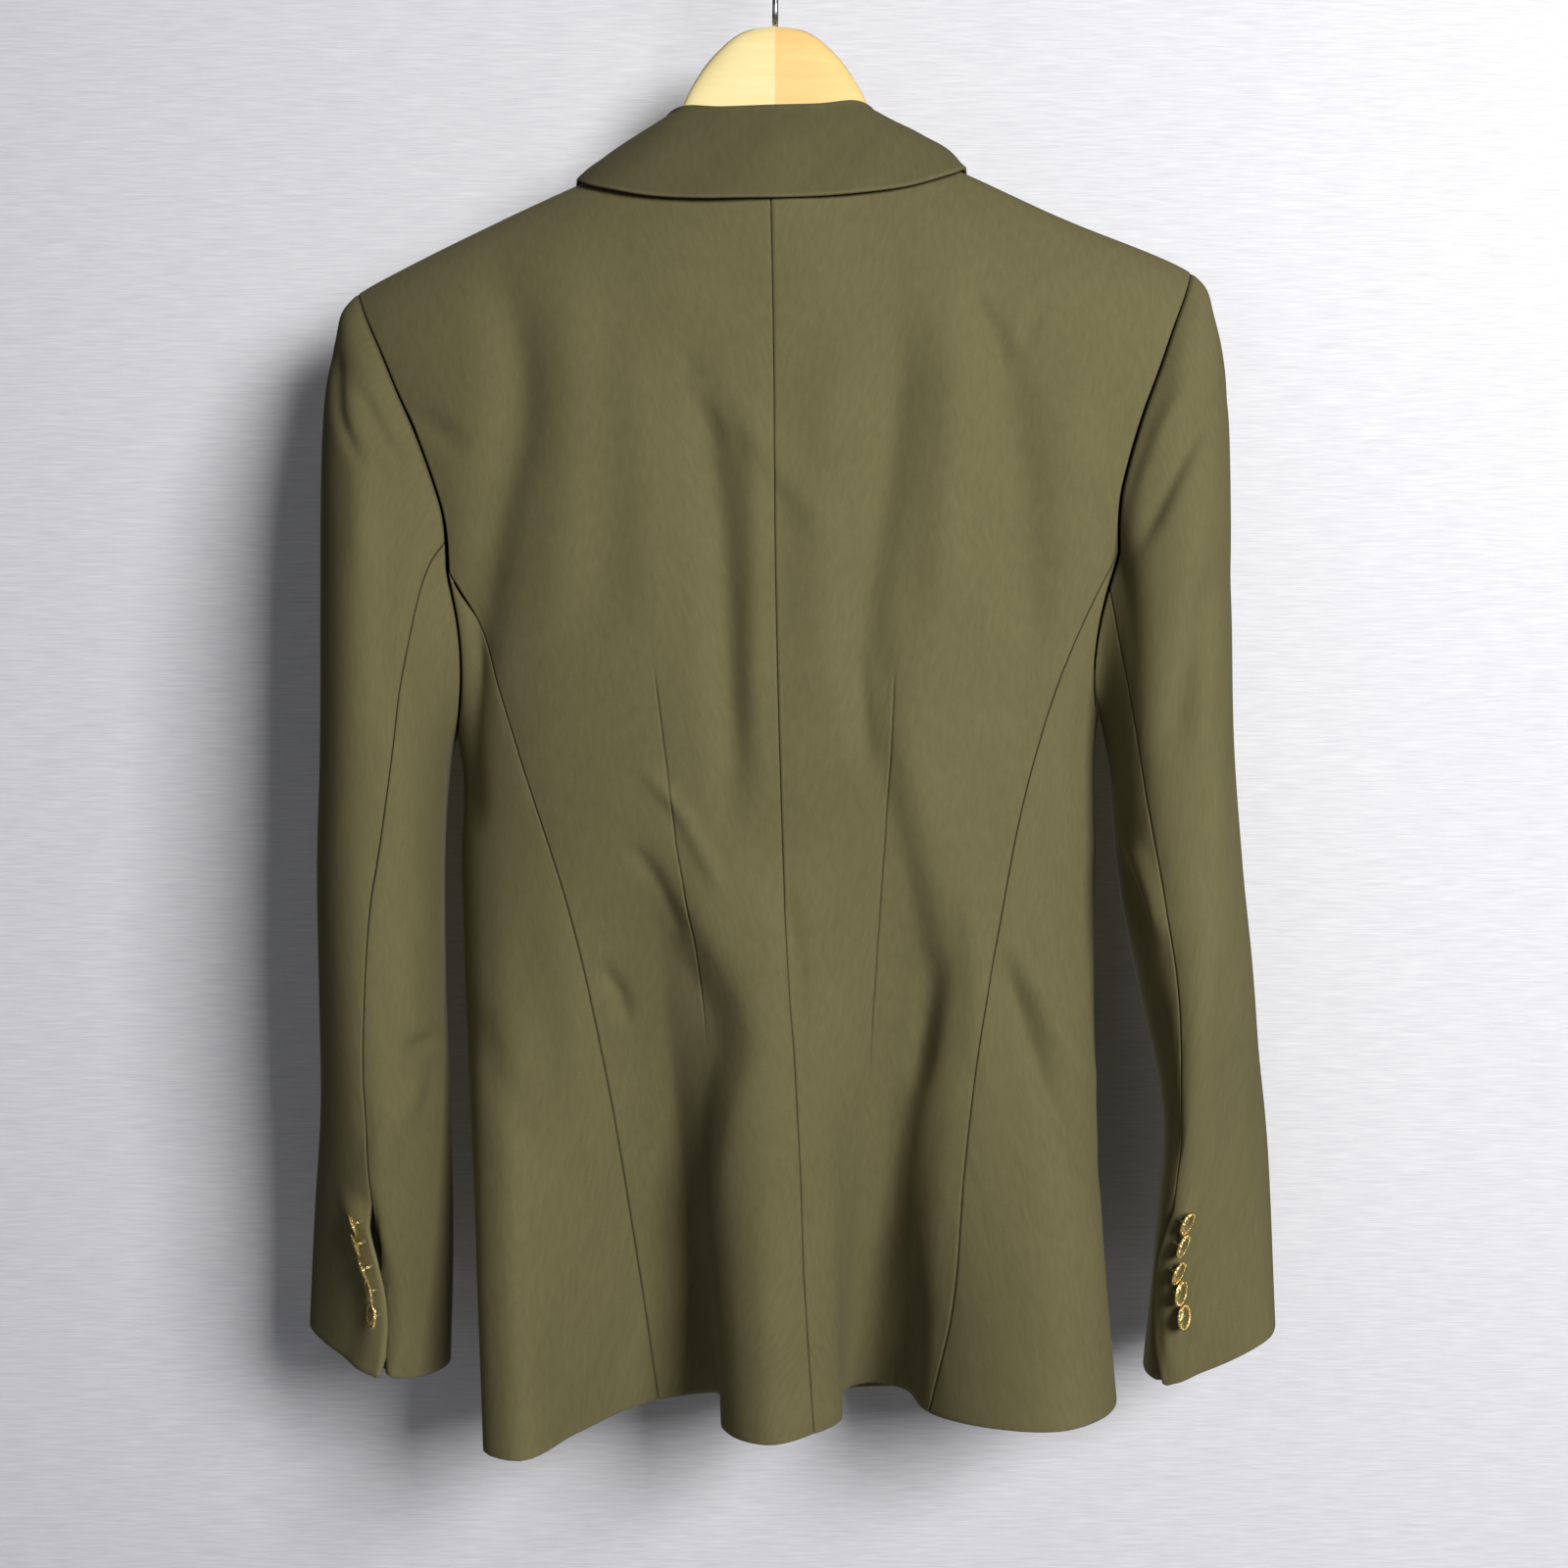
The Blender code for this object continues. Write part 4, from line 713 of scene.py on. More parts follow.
FRONT_FOLDS = (                 # on the fronts, which the photograph hides
    Fold(((520, 330), (535, 460), (520, 600)), 26, -0.0024, 70),
    Fold(((1050, 330), (1040, 460), (1054, 600)), 26, -0.0024, 70),
    Fold(((600, 820), (640, 940), (690, 1040)), 16, -0.0016, 50),
    Fold(((990, 820), (950, 930), (900, 1010)), 16, -0.0016, 50),
    Fold(((700, 960), (690, 1140), (700, 1360)), 24, -0.0018, 70),
    Fold(((905, 1000), (915, 1160), (900, 1370)), 24, -0.0018, 70),
    Fold(((560, 980), (545, 1160), (560, 1340)), 22, 0.0014, 70),
    Fold(((1040, 980), (1050, 1160), (1040, 1340)), 22, 0.0014, 70),
)


def folds_relief(folds: Sequence[Fold], seen: np.ndarray) -> np.ndarray:
    """The sum of several folds."""
    return sum((fold.relief(seen) for fold in folds), np.zeros(seen.shape[:-1]))


# ---- the jacket's forms
@dataclass
class Hanging:
    """How the upright jacket hangs: it leans a little and has slid over."""

    lean: float = math.radians(1.775)
    slide: float = -0.0018
    pivot: float = -0.155

    def points(self, points: np.ndarray) -> np.ndarray:
        """Points of the upright jacket where they hang.

        Args:
            points: Points of the upright jacket.

        Returns:
            The same points, leaned and moved.
        """
        x, up = points[..., 0], points[..., 2] - self.pivot
        cos, sin = math.cos(self.lean), math.sin(self.lean)
        return np.stack([self.slide + x * cos - up * sin, points[..., 1],
                         self.pivot + x * sin + up * cos], -1)


@dataclass
class Body:
    """The upright body surface, from a few levels, a roof and a wavy hem."""

    plan_power: float = 2.6
    roof_power: float = 2.4
    chest: float = -0.373           # the roof starts here, where the side panels end
    armhole_bottom: float = -0.455
    tip: float = 0.224              # shoulder tip
    shoulder_start: tuple[float, float] = (0.085, -0.1552)
    shoulder_slope: float = 0.40
    shoulder_sags: tuple[float, float] = (0.25, 0.40)
    right_dip: float = 0.0035
    neck: float = 0.075
    back_neck_drop: float = 0.021
    back_hem: float = -0.818
    front_hem_drop: float = 0.011
    flute_top: float = -0.490
    flute_power: float = 1.5
    wrap_reach: float = 0.065
    break_height: float = -0.470
    roll_top: tuple[float, float] = (0.060, -0.176)
    wrap_lift: float = 0.0046
    wrap_fade: tuple[float, float] = (0.080, 0.135)
    wrap_rise: tuple[float, float] = (0.205, 0.290)
    levels: Rows = (
        (-0.835, 0.164, 0.062, 0.046, -0.002), (-0.730, 0.166, 0.062, 0.046, -0.008),
        (-0.620, 0.168, 0.063, 0.048, -0.010), (-0.530, 0.170, 0.067, 0.052, -0.008),
        (-0.455, 0.172, 0.071, 0.056, -0.006), (-0.400, 0.187, 0.072, 0.058, -0.005),
        (-0.335, 0.212, 0.072, 0.060, -0.003), (-0.240, 0.240, 0.071, 0.060, 0.000),
        (-0.120, 0.252, 0.070, 0.058, 0.000))
    back_hem_plan: Rows = (
        (-0.160, -0.004), (-0.165, -0.040), (-0.163, -0.074), (-0.147, -0.084),
        (-0.119, -0.045), (-0.092, -0.008), (-0.072, 0.005), (-0.052, 0.009),
        (-0.047, -0.020), (-0.045, -0.050), (-0.037, -0.064), (-0.022, -0.073),
        (0.002, -0.059), (0.014, -0.045), (0.017, -0.010), (0.022, 0.012), (0.035, 0.018),
        (0.049, 0.008), (0.062, -0.034), (0.086, -0.056), (0.128, -0.066), (0.153, -0.046),
        (0.163, -0.012), (0.162, 0.000))
    front_hem_plan: Rows = (
        (-0.160, -0.004), (-0.153, 0.024), (-0.128, 0.043), (-0.098, 0.036),
        (-0.066, 0.044), (-0.030, 0.047), (0.010, 0.047), (0.050, 0.047), (0.088, 0.038),
        (0.120, 0.047), (0.152, 0.030), (0.162, 0.000))
    back_armhole_cut: Rows = (
        (-0.373, 0.1740), (-0.356, 0.1735), (-0.342, 0.1750), (-0.329, 0.1785),
        (-0.315, 0.1830), (-0.300, 0.1885), (-0.278, 0.198), (-0.254, 0.208),
        (-0.2365, 0.216), (-0.2175, 0.224))
    front_armhole_cut: Rows = (
        (-0.373, 0.164), (-0.345, 0.166), (-0.315, 0.174), (-0.285, 0.186),
        (-0.254, 0.202), (-0.2365, 0.213), (-0.2175, 0.224))
    centre_cut: Rows = (
        (-0.835, 0.0025), (-0.740, -0.001), (-0.620, -0.0045), (-0.500, -0.0055),
        (-0.400, -0.005), (-0.250, -0.002), (-0.120, -0.001))
    left_panel_cut: Rows = (
        (-0.835, -0.0800), (-0.740, -0.0883), (-0.620, -0.1025), (-0.560, -0.1130),
        (-0.480, -0.1360), (-0.400, -0.1615), (-0.373, -0.1740))
    right_panel_cut: Rows = (
        (-0.835, 0.0570), (-0.740, 0.0785), (-0.690, 0.0835), (-0.620, 0.0930),
        (-0.560, 0.1045), (-0.480, 0.1250), (-0.400, 0.1585), (-0.373, 0.1740))
    side_front_cut: Rows = (
        (-0.835, 0.132), (-0.620, 0.138), (-0.480, 0.146), (-0.373, 0.164))

    def __post_init__(self) -> None:
        """Work out the tracks and the table of plans that the panels read."""
        self.level = track_of(self.levels)
        self.hems = {Face.BACK: smooth_path(self.back_hem_plan),
                     Face.FRONT: smooth_path(self.front_hem_plan)}
        self.table_heights = np.linspace(self.chest + 0.004, self.back_hem - 0.018, 260)
        self.table_shares = np.linspace(0, 1, 1201)
        self.tables = {face: np.array([self.plan_row(face, self.table_shares, z)
                                       for z in self.table_heights]) for face in Face}
        self.half_lengths = {
            face: np.array([lengths_along(self.plan_ring(face, z))[-1]
                            for z in self.table_heights]) for face in Face}
        self.centre = track_of(self.centre_cut)
        self.back_armhole = track_of(self.back_armhole_cut)
        self.front_armhole = track_of(self.front_armhole_cut)
        side_front = track_of(self.side_front_cut)
        self.centre_share = self.share_track(Face.BACK, self.centre)
        self.panel_share = {
            Side.LEFT: self.share_track(Face.BACK, track_of(self.left_panel_cut)),
            Side.RIGHT: self.share_track(Face.BACK, track_of(self.right_panel_cut))}
        self.side_share = {side: self.share_track(
            Face.FRONT, lambda z, side=side: side.sign * side_front(z)) for side in Side}
        self.edge_share = {side: self.share_track(
            Face.FRONT, lambda z, side=side: side.sign * self.roll_line(z)) for side in Side}

    def shoulder(self, x: np.ndarray) -> np.ndarray:
        """Height of the shoulder line, which sags a little toward its tip.

        Args:
            x: How far across, upright.

        Returns:
            The heights.
        """
        x = np.asarray(x, float)
        start, height = self.shoulder_start
        reach = np.abs(x) - start
        sag = np.where(x < 0, *self.shoulder_sags)
        dip = self.right_dip * np.sin(math.pi * np.clip(reach / (self.tip - start), 0, 1)) ** 2
        return (height - reach * (self.shoulder_slope + sag * np.abs(reach))
                - np.where(x < 0, 0, dip))

    def neckline(self, face: Face, x: np.ndarray) -> np.ndarray:
        """Height of the neck edge between the neck points.

        Args:
            face: Back or front.
            x: How far across, upright.

        Returns:
            The heights.
        """
        share = np.minimum(np.abs(x) / self.neck, 1.0)
        point = self.shoulder(self.neck)
        if face is Face.BACK:
            return point - self.back_neck_drop * (1 - share**2.4)
        drop = (point - self.roll_top[1]) / (self.neck - self.roll_top[0])
        return point - drop * (self.neck - np.abs(x))

    def face_point(self, face: Face, x: np.ndarray, z: np.ndarray) -> np.ndarray:
        """Points of the outer face of the cloth above the flutes.

        Args:
            face: Back or front.
            x: How far across, upright.
            z: Height, upright.

        Returns:
            The points.
        """
        x, z = np.broadcast_arrays(np.asarray(x, float), np.asarray(z, float))
        half_width, back_depth, front_depth, sway = np.moveaxis(self.level(z), -1, 0)
        across = np.minimum(np.abs(x - sway) / half_width, 1.0)
        plan = (1 - across**self.plan_power) ** (1 / self.plan_power)
        rise = np.clip((z - self.chest) / (self.shoulder(x) - self.chest), 0.0, 1.0)
        roof = (1 - rise**self.roof_power) ** (1 / self.roof_power)
        depth = -back_depth if face is Face.BACK else front_depth
        return np.stack([x, depth * plan * roof, z], -1)

    def face_normal(self, face: Face, x: np.ndarray, z: np.ndarray) -> np.ndarray:
        """Outward normals of the cloth above the flutes.

        Args:
            face: Back or front.
            x: How far across, upright.
            z: Heights, upright.

        Returns:
            The normals.
        """
        z = np.minimum(z, self.shoulder(x) - 0.003)
        across = self.face_point(face, x + 0.001, z) - self.face_point(face, x - 0.001, z)
        down = self.face_point(face, x, z - 0.001) - self.face_point(face, x, z + 0.001)
        normal = unit(np.cross(down, across))
        wrong = (normal[..., 1] < 0) != (face is Face.BACK)
        return np.where(wrong[..., None], -normal, normal)

    def plan_ring(self, face: Face, z: float) -> np.ndarray:
        """Half of the body's plan at a height, from the left side to the right.

        Args:
            face: Back or front.
            z: The height.

        Returns:
            The plan's points.
        """
        half_width, back_depth, front_depth, sway = self.level(z)
        turn = np.linspace(0, math.pi, 961)
        power = 2 / self.plan_power
        x = -np.sign(np.cos(turn)) * np.abs(np.cos(turn)) ** power * half_width + sway
        depth = -back_depth if face is Face.BACK else front_depth
        return np.stack([x, depth * np.abs(np.sin(turn)) ** power], -1)

    def plan_row(self, face: Face, shares: np.ndarray, z: float) -> np.ndarray:
        """Plan points of the lower body at one height, the hem's waves grown in.

        Args:
            face: Back or front.
            shares: Shares of the half plan.
            z: The height.

        Returns:
            The points.
        """
        ring = along(self.plan_ring(face, z), shares)
        reach = max(self.flute_top - z, 0.0) / (self.flute_top - self.back_hem)
        grow = min(reach, 1.0) ** self.flute_power
        flat_hem = along(self.plan_ring(face, self.back_hem), shares)
        return ring + grow * (along(self.hems[face], shares) - flat_hem)

    def table_place(self, z: np.ndarray) -> tuple[np.ndarray, np.ndarray]:
        """Row of the table above each height, and how far past it the height is.

        Args:
            z: Heights, upright.

        Returns:
            The rows, and a share of the step to the next row.
        """
        span = self.table_heights[1] - self.table_heights[0]
        place = np.clip((z - self.table_heights[0]) / span, 0, len(self.table_heights) - 1.001)
        return place.astype(int), place - place.astype(int)

    def from_table(self, face: Face, share: np.ndarray, z: np.ndarray) -> np.ndarray:
        """Plan points at shares of the half plan and at heights.

        Args:
            face: Back or front.
            share: Shares of the half plan.
            z: Heights, upright.

        Returns:
            The points.
        """
        row, past = self.table_place(z)
        place = np.clip(share, 0, 1) * (len(self.table_shares) - 1)
        column = np.minimum(place.astype(int), len(self.table_shares) - 2)
        t = (place - column)[..., None]
        past = past[..., None]
        table = self.tables[face]
        upper = table[row, column] * (1 - t) + table[row, column + 1] * t
        lower = table[row + 1, column] * (1 - t) + table[row + 1, column + 1] * t
        return upper * (1 - past) + lower * past

    def half_length(self, face: Face, z: np.ndarray) -> np.ndarray:
        """Length of half the plan at heights."""
        return np.interp(-np.asarray(z), -self.table_heights, self.half_lengths[face])

    def drape(self, face: Face, share: np.ndarray, z: np.ndarray) -> np.ndarray:
        """Points of the lower body.

        Args:
            face: Back or front.
            share: Share of its half plan; past either end it runs round on to the other.
            z: Height, upright.

        Returns:
            The points.
        """
        share, z = np.broadcast_arrays(np.asarray(share, float), np.asarray(z, float))
        plan = self.from_table(face, share, z)
        over = np.maximum(-share, share - 1)
        if (over > 0).any():
            run = over * self.half_length(face, z) / self.half_length(face.other, z)
            round_on = self.from_table(face.other, np.where(share < 0, run, 1 - run), z)
            plan = np.where((over > 0)[..., None], round_on, plan)
        return np.concatenate([plan, z[..., None]], -1)

    def hem(self, face: Face, share: np.ndarray) -> np.ndarray:
        """Height of the hem; the fronts are cut a little longer.

        Args:
            face: Back or front.
            share: Shares of the half plan.

        Returns:
            The heights.
        """
        if face is Face.BACK:
            return np.full(np.shape(share), self.back_hem)
        near = np.minimum(share, 1 - share)
        return self.back_hem - self.front_hem_drop * smooth_step(near, 0.0, 0.16)

    def share_track(self, face: Face, cut: Callable[[float], float]) -> Track:
        """Where a cut line lies on the half plan, as a share, at each height.

        Args:
            face: Back or front.
            cut: The line, as x at a height.

        Returns:
            The shares.
        """
        shares = np.linspace(0, 1, 801)
        found: list[float] = []
        heights = np.linspace(self.chest, self.back_hem - self.front_hem_drop, 40)
        for z in heights:
            across = self.plan_row(face, shares, z)[:, 0] - cut(z)
            crossings = np.nonzero(np.diff(np.sign(across)))[0]
            places = [shares[i] - across[i] * (shares[i + 1] - shares[i])
                      / (across[i + 1] - across[i]) for i in crossings]
            places = places or [shares[np.argmin(np.abs(across))]]
            last = found[-1] if found else None
            found.append(min(places, key=lambda s: abs(s - (s if last is None else last))))
        return Track(heights, found)

    def roll_line(self, z: np.ndarray) -> np.ndarray:
        """The front edge: along the lapel's roll, then straight down past the centre."""
        share = np.minimum((self.roll_top[1] - z) / (self.roll_top[1] - self.break_height), 1.0)
        return self.roll_top[0] - share * (self.roll_top[0] + self.wrap_reach)

    def wrap(self, side: Side, x: np.ndarray, z: np.ndarray) -> np.ndarray:
        """How far the outer front lies off the surface of the body."""
        lift = self.wrap_lift if side is Side.RIGHT else 0.0
        return lift * (1 - smooth_step(x, *self.wrap_fade)) * smooth_step(-z, *self.wrap_rise)

    def armhole_floor(self, step: np.ndarray) -> np.ndarray:
        """Height of the side panel's top edge, a curve that dips under the arm."""
        rise = np.abs(2 * np.asarray(step) - 1) ** 2.2
        return self.armhole_bottom + (self.chest - self.armhole_bottom) * rise

    def side_place(self, side: Side, step: np.ndarray, z: np.ndarray, gap: float) -> np.ndarray:
        """Back-face share of a side panel's column; past the end it runs on to the front.

        Args:
            side: The wearer's side.
            step: Place across the panel, from 0 to 1.
            z: Heights, upright.
            gap: Width of its seams.

        Returns:
            The shares.
        """
        back, front = self.half_length(Face.BACK, z), self.half_length(Face.FRONT, z)
        first = self.panel_share[side](z) + side.sign * gap / 2 / back
        run = (self.side_share[side](z) - gap / 2 / front if side is Side.LEFT
               else 1 - self.side_share[side](z) - gap / 2 / front) * front / back
        last = -run if side is Side.LEFT else 1 + run
        return first + step * (last - first)


# ---- cut pieces of cloth
class Hold(Enum):
    """How a piece of cloth is held."""

    HUNG = "hung"
    FOLDED = "folded"


@dataclass
class Cloth:
    """A cut piece of cloth: a grid of points as it hangs, and what is done to it."""

    name: str
    points: np.ndarray              # rows downward, columns across
    outward: np.ndarray             # a rough outward direction
    thickness: float = 0.0016
    seams: tuple[int, ...] = ()     # columns that are sewn, or stitched darts
    dart_ends: dict[int, tuple[float, float]] = field(default_factory=dict)
    top_seam: bool = False
    free_edges: tuple[int, ...] = ()
    facing: float = 0.036           # depth of cloth turned up inside the hem
    groove: float = 0.0007          # depth of a seam
    stitch: float = 0.0052          # from one stitch to the next
    seam_width: float = 0.0005
    line_width: float = 0.00028     # width of a seam's dark line
    dish: tuple[float, float] = (0.006, 0.00035)    # width and depth beside a seam
    pucker: float = 0.031           # length of the faint waves beside a seam
    pucker_height: float = 0.00013
    pucker_reach: float = 0.004
    edge_wear: tuple[float, float] = (0.0012, 0.30)    # width, strength
    hem_wear: tuple[float, float] = (0.0010, 0.22)

    def __post_init__(self) -> None:
        """Measure the cloth along its rows and columns."""
        self.normals = grid_normals(self.points, self.outward)
        across = np.linalg.norm(np.diff(self.points, axis=1), axis=-1)
        down = np.linalg.norm(np.diff(self.points, axis=0), axis=-1)
        self.across = np.concatenate([np.zeros((len(self.points), 1)), np.cumsum(across, 1)], 1)
        self.down = np.concatenate([np.zeros((1, self.points.shape[1])), np.cumsum(down, 0)])
        # dark seam lines; on the sleeves' under pieces, also painted shade beside the vents
        self.seam = np.zeros(self.points.shape[:2])
        self.worn = np.zeros(self.points.shape[:2])
        self.extra = np.zeros(self.points.shape[:2])
        middle = self.points.shape[1] // 2
        self.places = np.stack([self.across - self.across[:, middle:middle + 1] + 0.5,
                                self.down + 0.5], -1)

    def from_column(self, column: int) -> np.ndarray:
        """Distance of each point from a column, along its row."""
        return np.abs(self.across - self.across[:, column:column + 1])

    def push(self, relief: np.ndarray) -> None:
        """Move the cloth along its normals."""
        self.points = self.points + relief[..., None] * self.normals

    def sew(self, phase: float) -> None:
        """Sink the seams and darts, with a faint pucker, and mark their lines.

        Args:
            phase: Shifts the puckers, so that no two seams match.
        """
        relief = np.zeros(self.points.shape[:2])
        for column in self.seams:
            distance, height = self.from_column(column), self.points[..., 2]
            shown = np.ones(self.points.shape[:2])
            if column in self.dart_ends:
                low, high = self.dart_ends[column]
                shown = (smooth_step(height, low, low + 0.05)
                         * (1 - smooth_step(height, high - 0.012, high)))
            stitches = 0.5 + 0.5 * np.sin(math.tau * self.down / self.stitch + phase)
            pucker = (np.sin(math.tau * self.down / self.pucker + phase)
                      * np.sin(self.down * 61 + column))
            relief -= shown * (bump(distance, self.seam_width, self.groove)
                               + bump(distance, *self.dish))
            relief += shown * pucker * bump(distance - self.pucker_reach, self.pucker_reach,
                                            self.pucker_height)
            line = bump(distance, self.line_width) * (0.44 + 0.30 * stitches)
            self.seam = np.maximum(self.seam, shown * line)
        if self.top_seam:
            relief -= bump(self.down, 0.0006, self.groove)
            self.seam = np.maximum(self.seam, bump(self.down, self.seam_width, 0.45))
        self.push(relief)

    def wear(self) -> None:
        """Pale the cloth a little along its free edges and its hem."""
        for column in self.free_edges:
            self.worn = np.maximum(self.worn, bump(self.from_column(column), *self.edge_wear))
        hem = self.down[-1] - self.down
        self.worn = np.maximum(self.worn, bump(hem, *self.hem_wear))
        self.seam *= 1 - bump(hem, 0.0008, 0.8)     # the hem's fold hides the seams' ends

    def shell(self, materials: Sequence[bpy.types.Material]) -> bpy.types.Object:
        """Give the cloth its thickness and its rounded edges.

        Args:
            materials: The cloth, and the lining inside it.

        Returns:
            The piece.
        """
        rows, columns = self.points.shape[:2]
        normals = grid_normals(self.points, self.outward)
        wall = (self.thickness + self.extra)[..., None]
        outer, inner = self.points, self.points - wall * normals
        number = np.arange(rows * columns).reshape(rows, columns)
        border = np.concatenate([number[0], number[1:, -1], number[-1, -2::-1], number[-2:0:-1, 0]])
        inside = np.concatenate([number[1], number[1:, -2], number[-2, -2::-1], number[-2:0:-1, 1]])
        inside[0], inside[columns - 1] = number[1, 1], number[1, -2]
        flat_outer, flat_inner = outer.reshape(-1, 3), inner.reshape(-1, 3)
        edge_out = unit(flat_outer[border] - flat_outer[inside])
        rounded = ((flat_outer[border] + flat_inner[border]) / 2
                   + edge_out * 0.42 * wall.reshape(-1, 1)[border])
        points = np.concatenate([flat_outer, flat_inner, rounded])
        a, b = number[:-1, :-1].ravel(), number[:-1, 1:].ravel()
        c, d = number[1:, 1:].ravel(), number[1:, :-1].ravel()
        quads = [np.stack([a, b, c, d], 1), np.stack([a, d, c, b], 1) + rows * columns]
        rim, after = np.arange(len(border)), np.roll(np.arange(len(border)), -1)
        ring = 2 * rows * columns + rim
        ring_after = 2 * rows * columns + after
        quads.append(np.stack([border[after], border[rim], ring, ring_after], 1))
        quads.append(np.stack([ring_after, ring, border[rim] + rows * columns,
                               border[after] + rows * columns], 1))
        corners = points[quads[0][0]]
        facing = np.cross(corners[1] - corners[0], corners[2] - corners[0])
        faces = np.concatenate(quads)
        if np.dot(facing, normals[0, 0]) < 0:
            faces = faces[:, ::-1]
        mesh = bpy.data.meshes.new(self.name)
        mesh.from_pydata(points.tolist(), [], faces.tolist())
        self.paint(mesh, border)
        for material in materials:
            mesh.materials.append(material)
        hem = self.down[-1] - self.down
        lined = (hem > self.facing) & (self.from_free_edges() > self.facing)
        slots, count = np.zeros(len(faces), np.int32), len(a)
        slots[count:2 * count] = lined[:-1, :-1].ravel()    # the inner faces, above the hem
        mesh.polygons.foreach_set("material_index", slots)
        mesh.shade_smooth()
        mesh.update()
        return linked(self.name, mesh)

    def from_free_edges(self) -> np.ndarray:
        """Distance of each point from the nearest free edge, or 1 with no such edge."""
        far = np.ones(self.points.shape[:2])
        return np.min([far, *(self.from_column(column) for column in self.free_edges)], axis=0)

    def paint(self, mesh: bpy.types.Mesh, border: np.ndarray) -> None:
        """Store the cloth's own coordinates, its seam lines with the painted shade beside the
        sleeve vents, and its wear.

        Args:
            mesh: The new mesh.
            border: The grid numbers round the border.
        """
        for name, values in (("seam", self.seam), ("worn", self.worn)):
            flat = values.ravel()
            full = np.concatenate([flat, flat * 0.6, flat[border]]).astype(np.float32)
            mesh.attributes.new(name, "FLOAT", "POINT").data.foreach_set("value", full)
        flat = self.places.reshape(-1, 2)
        full = np.concatenate([flat, flat + 0.37, flat[border]])
        loops = np.empty(len(mesh.loops), np.int32)
        mesh.loops.foreach_get("vertex_index", loops)
        layer = mesh.uv_layers.new(name="cloth")
        layer.data.foreach_set("uv", full[loops].astype(np.float32).ravel())


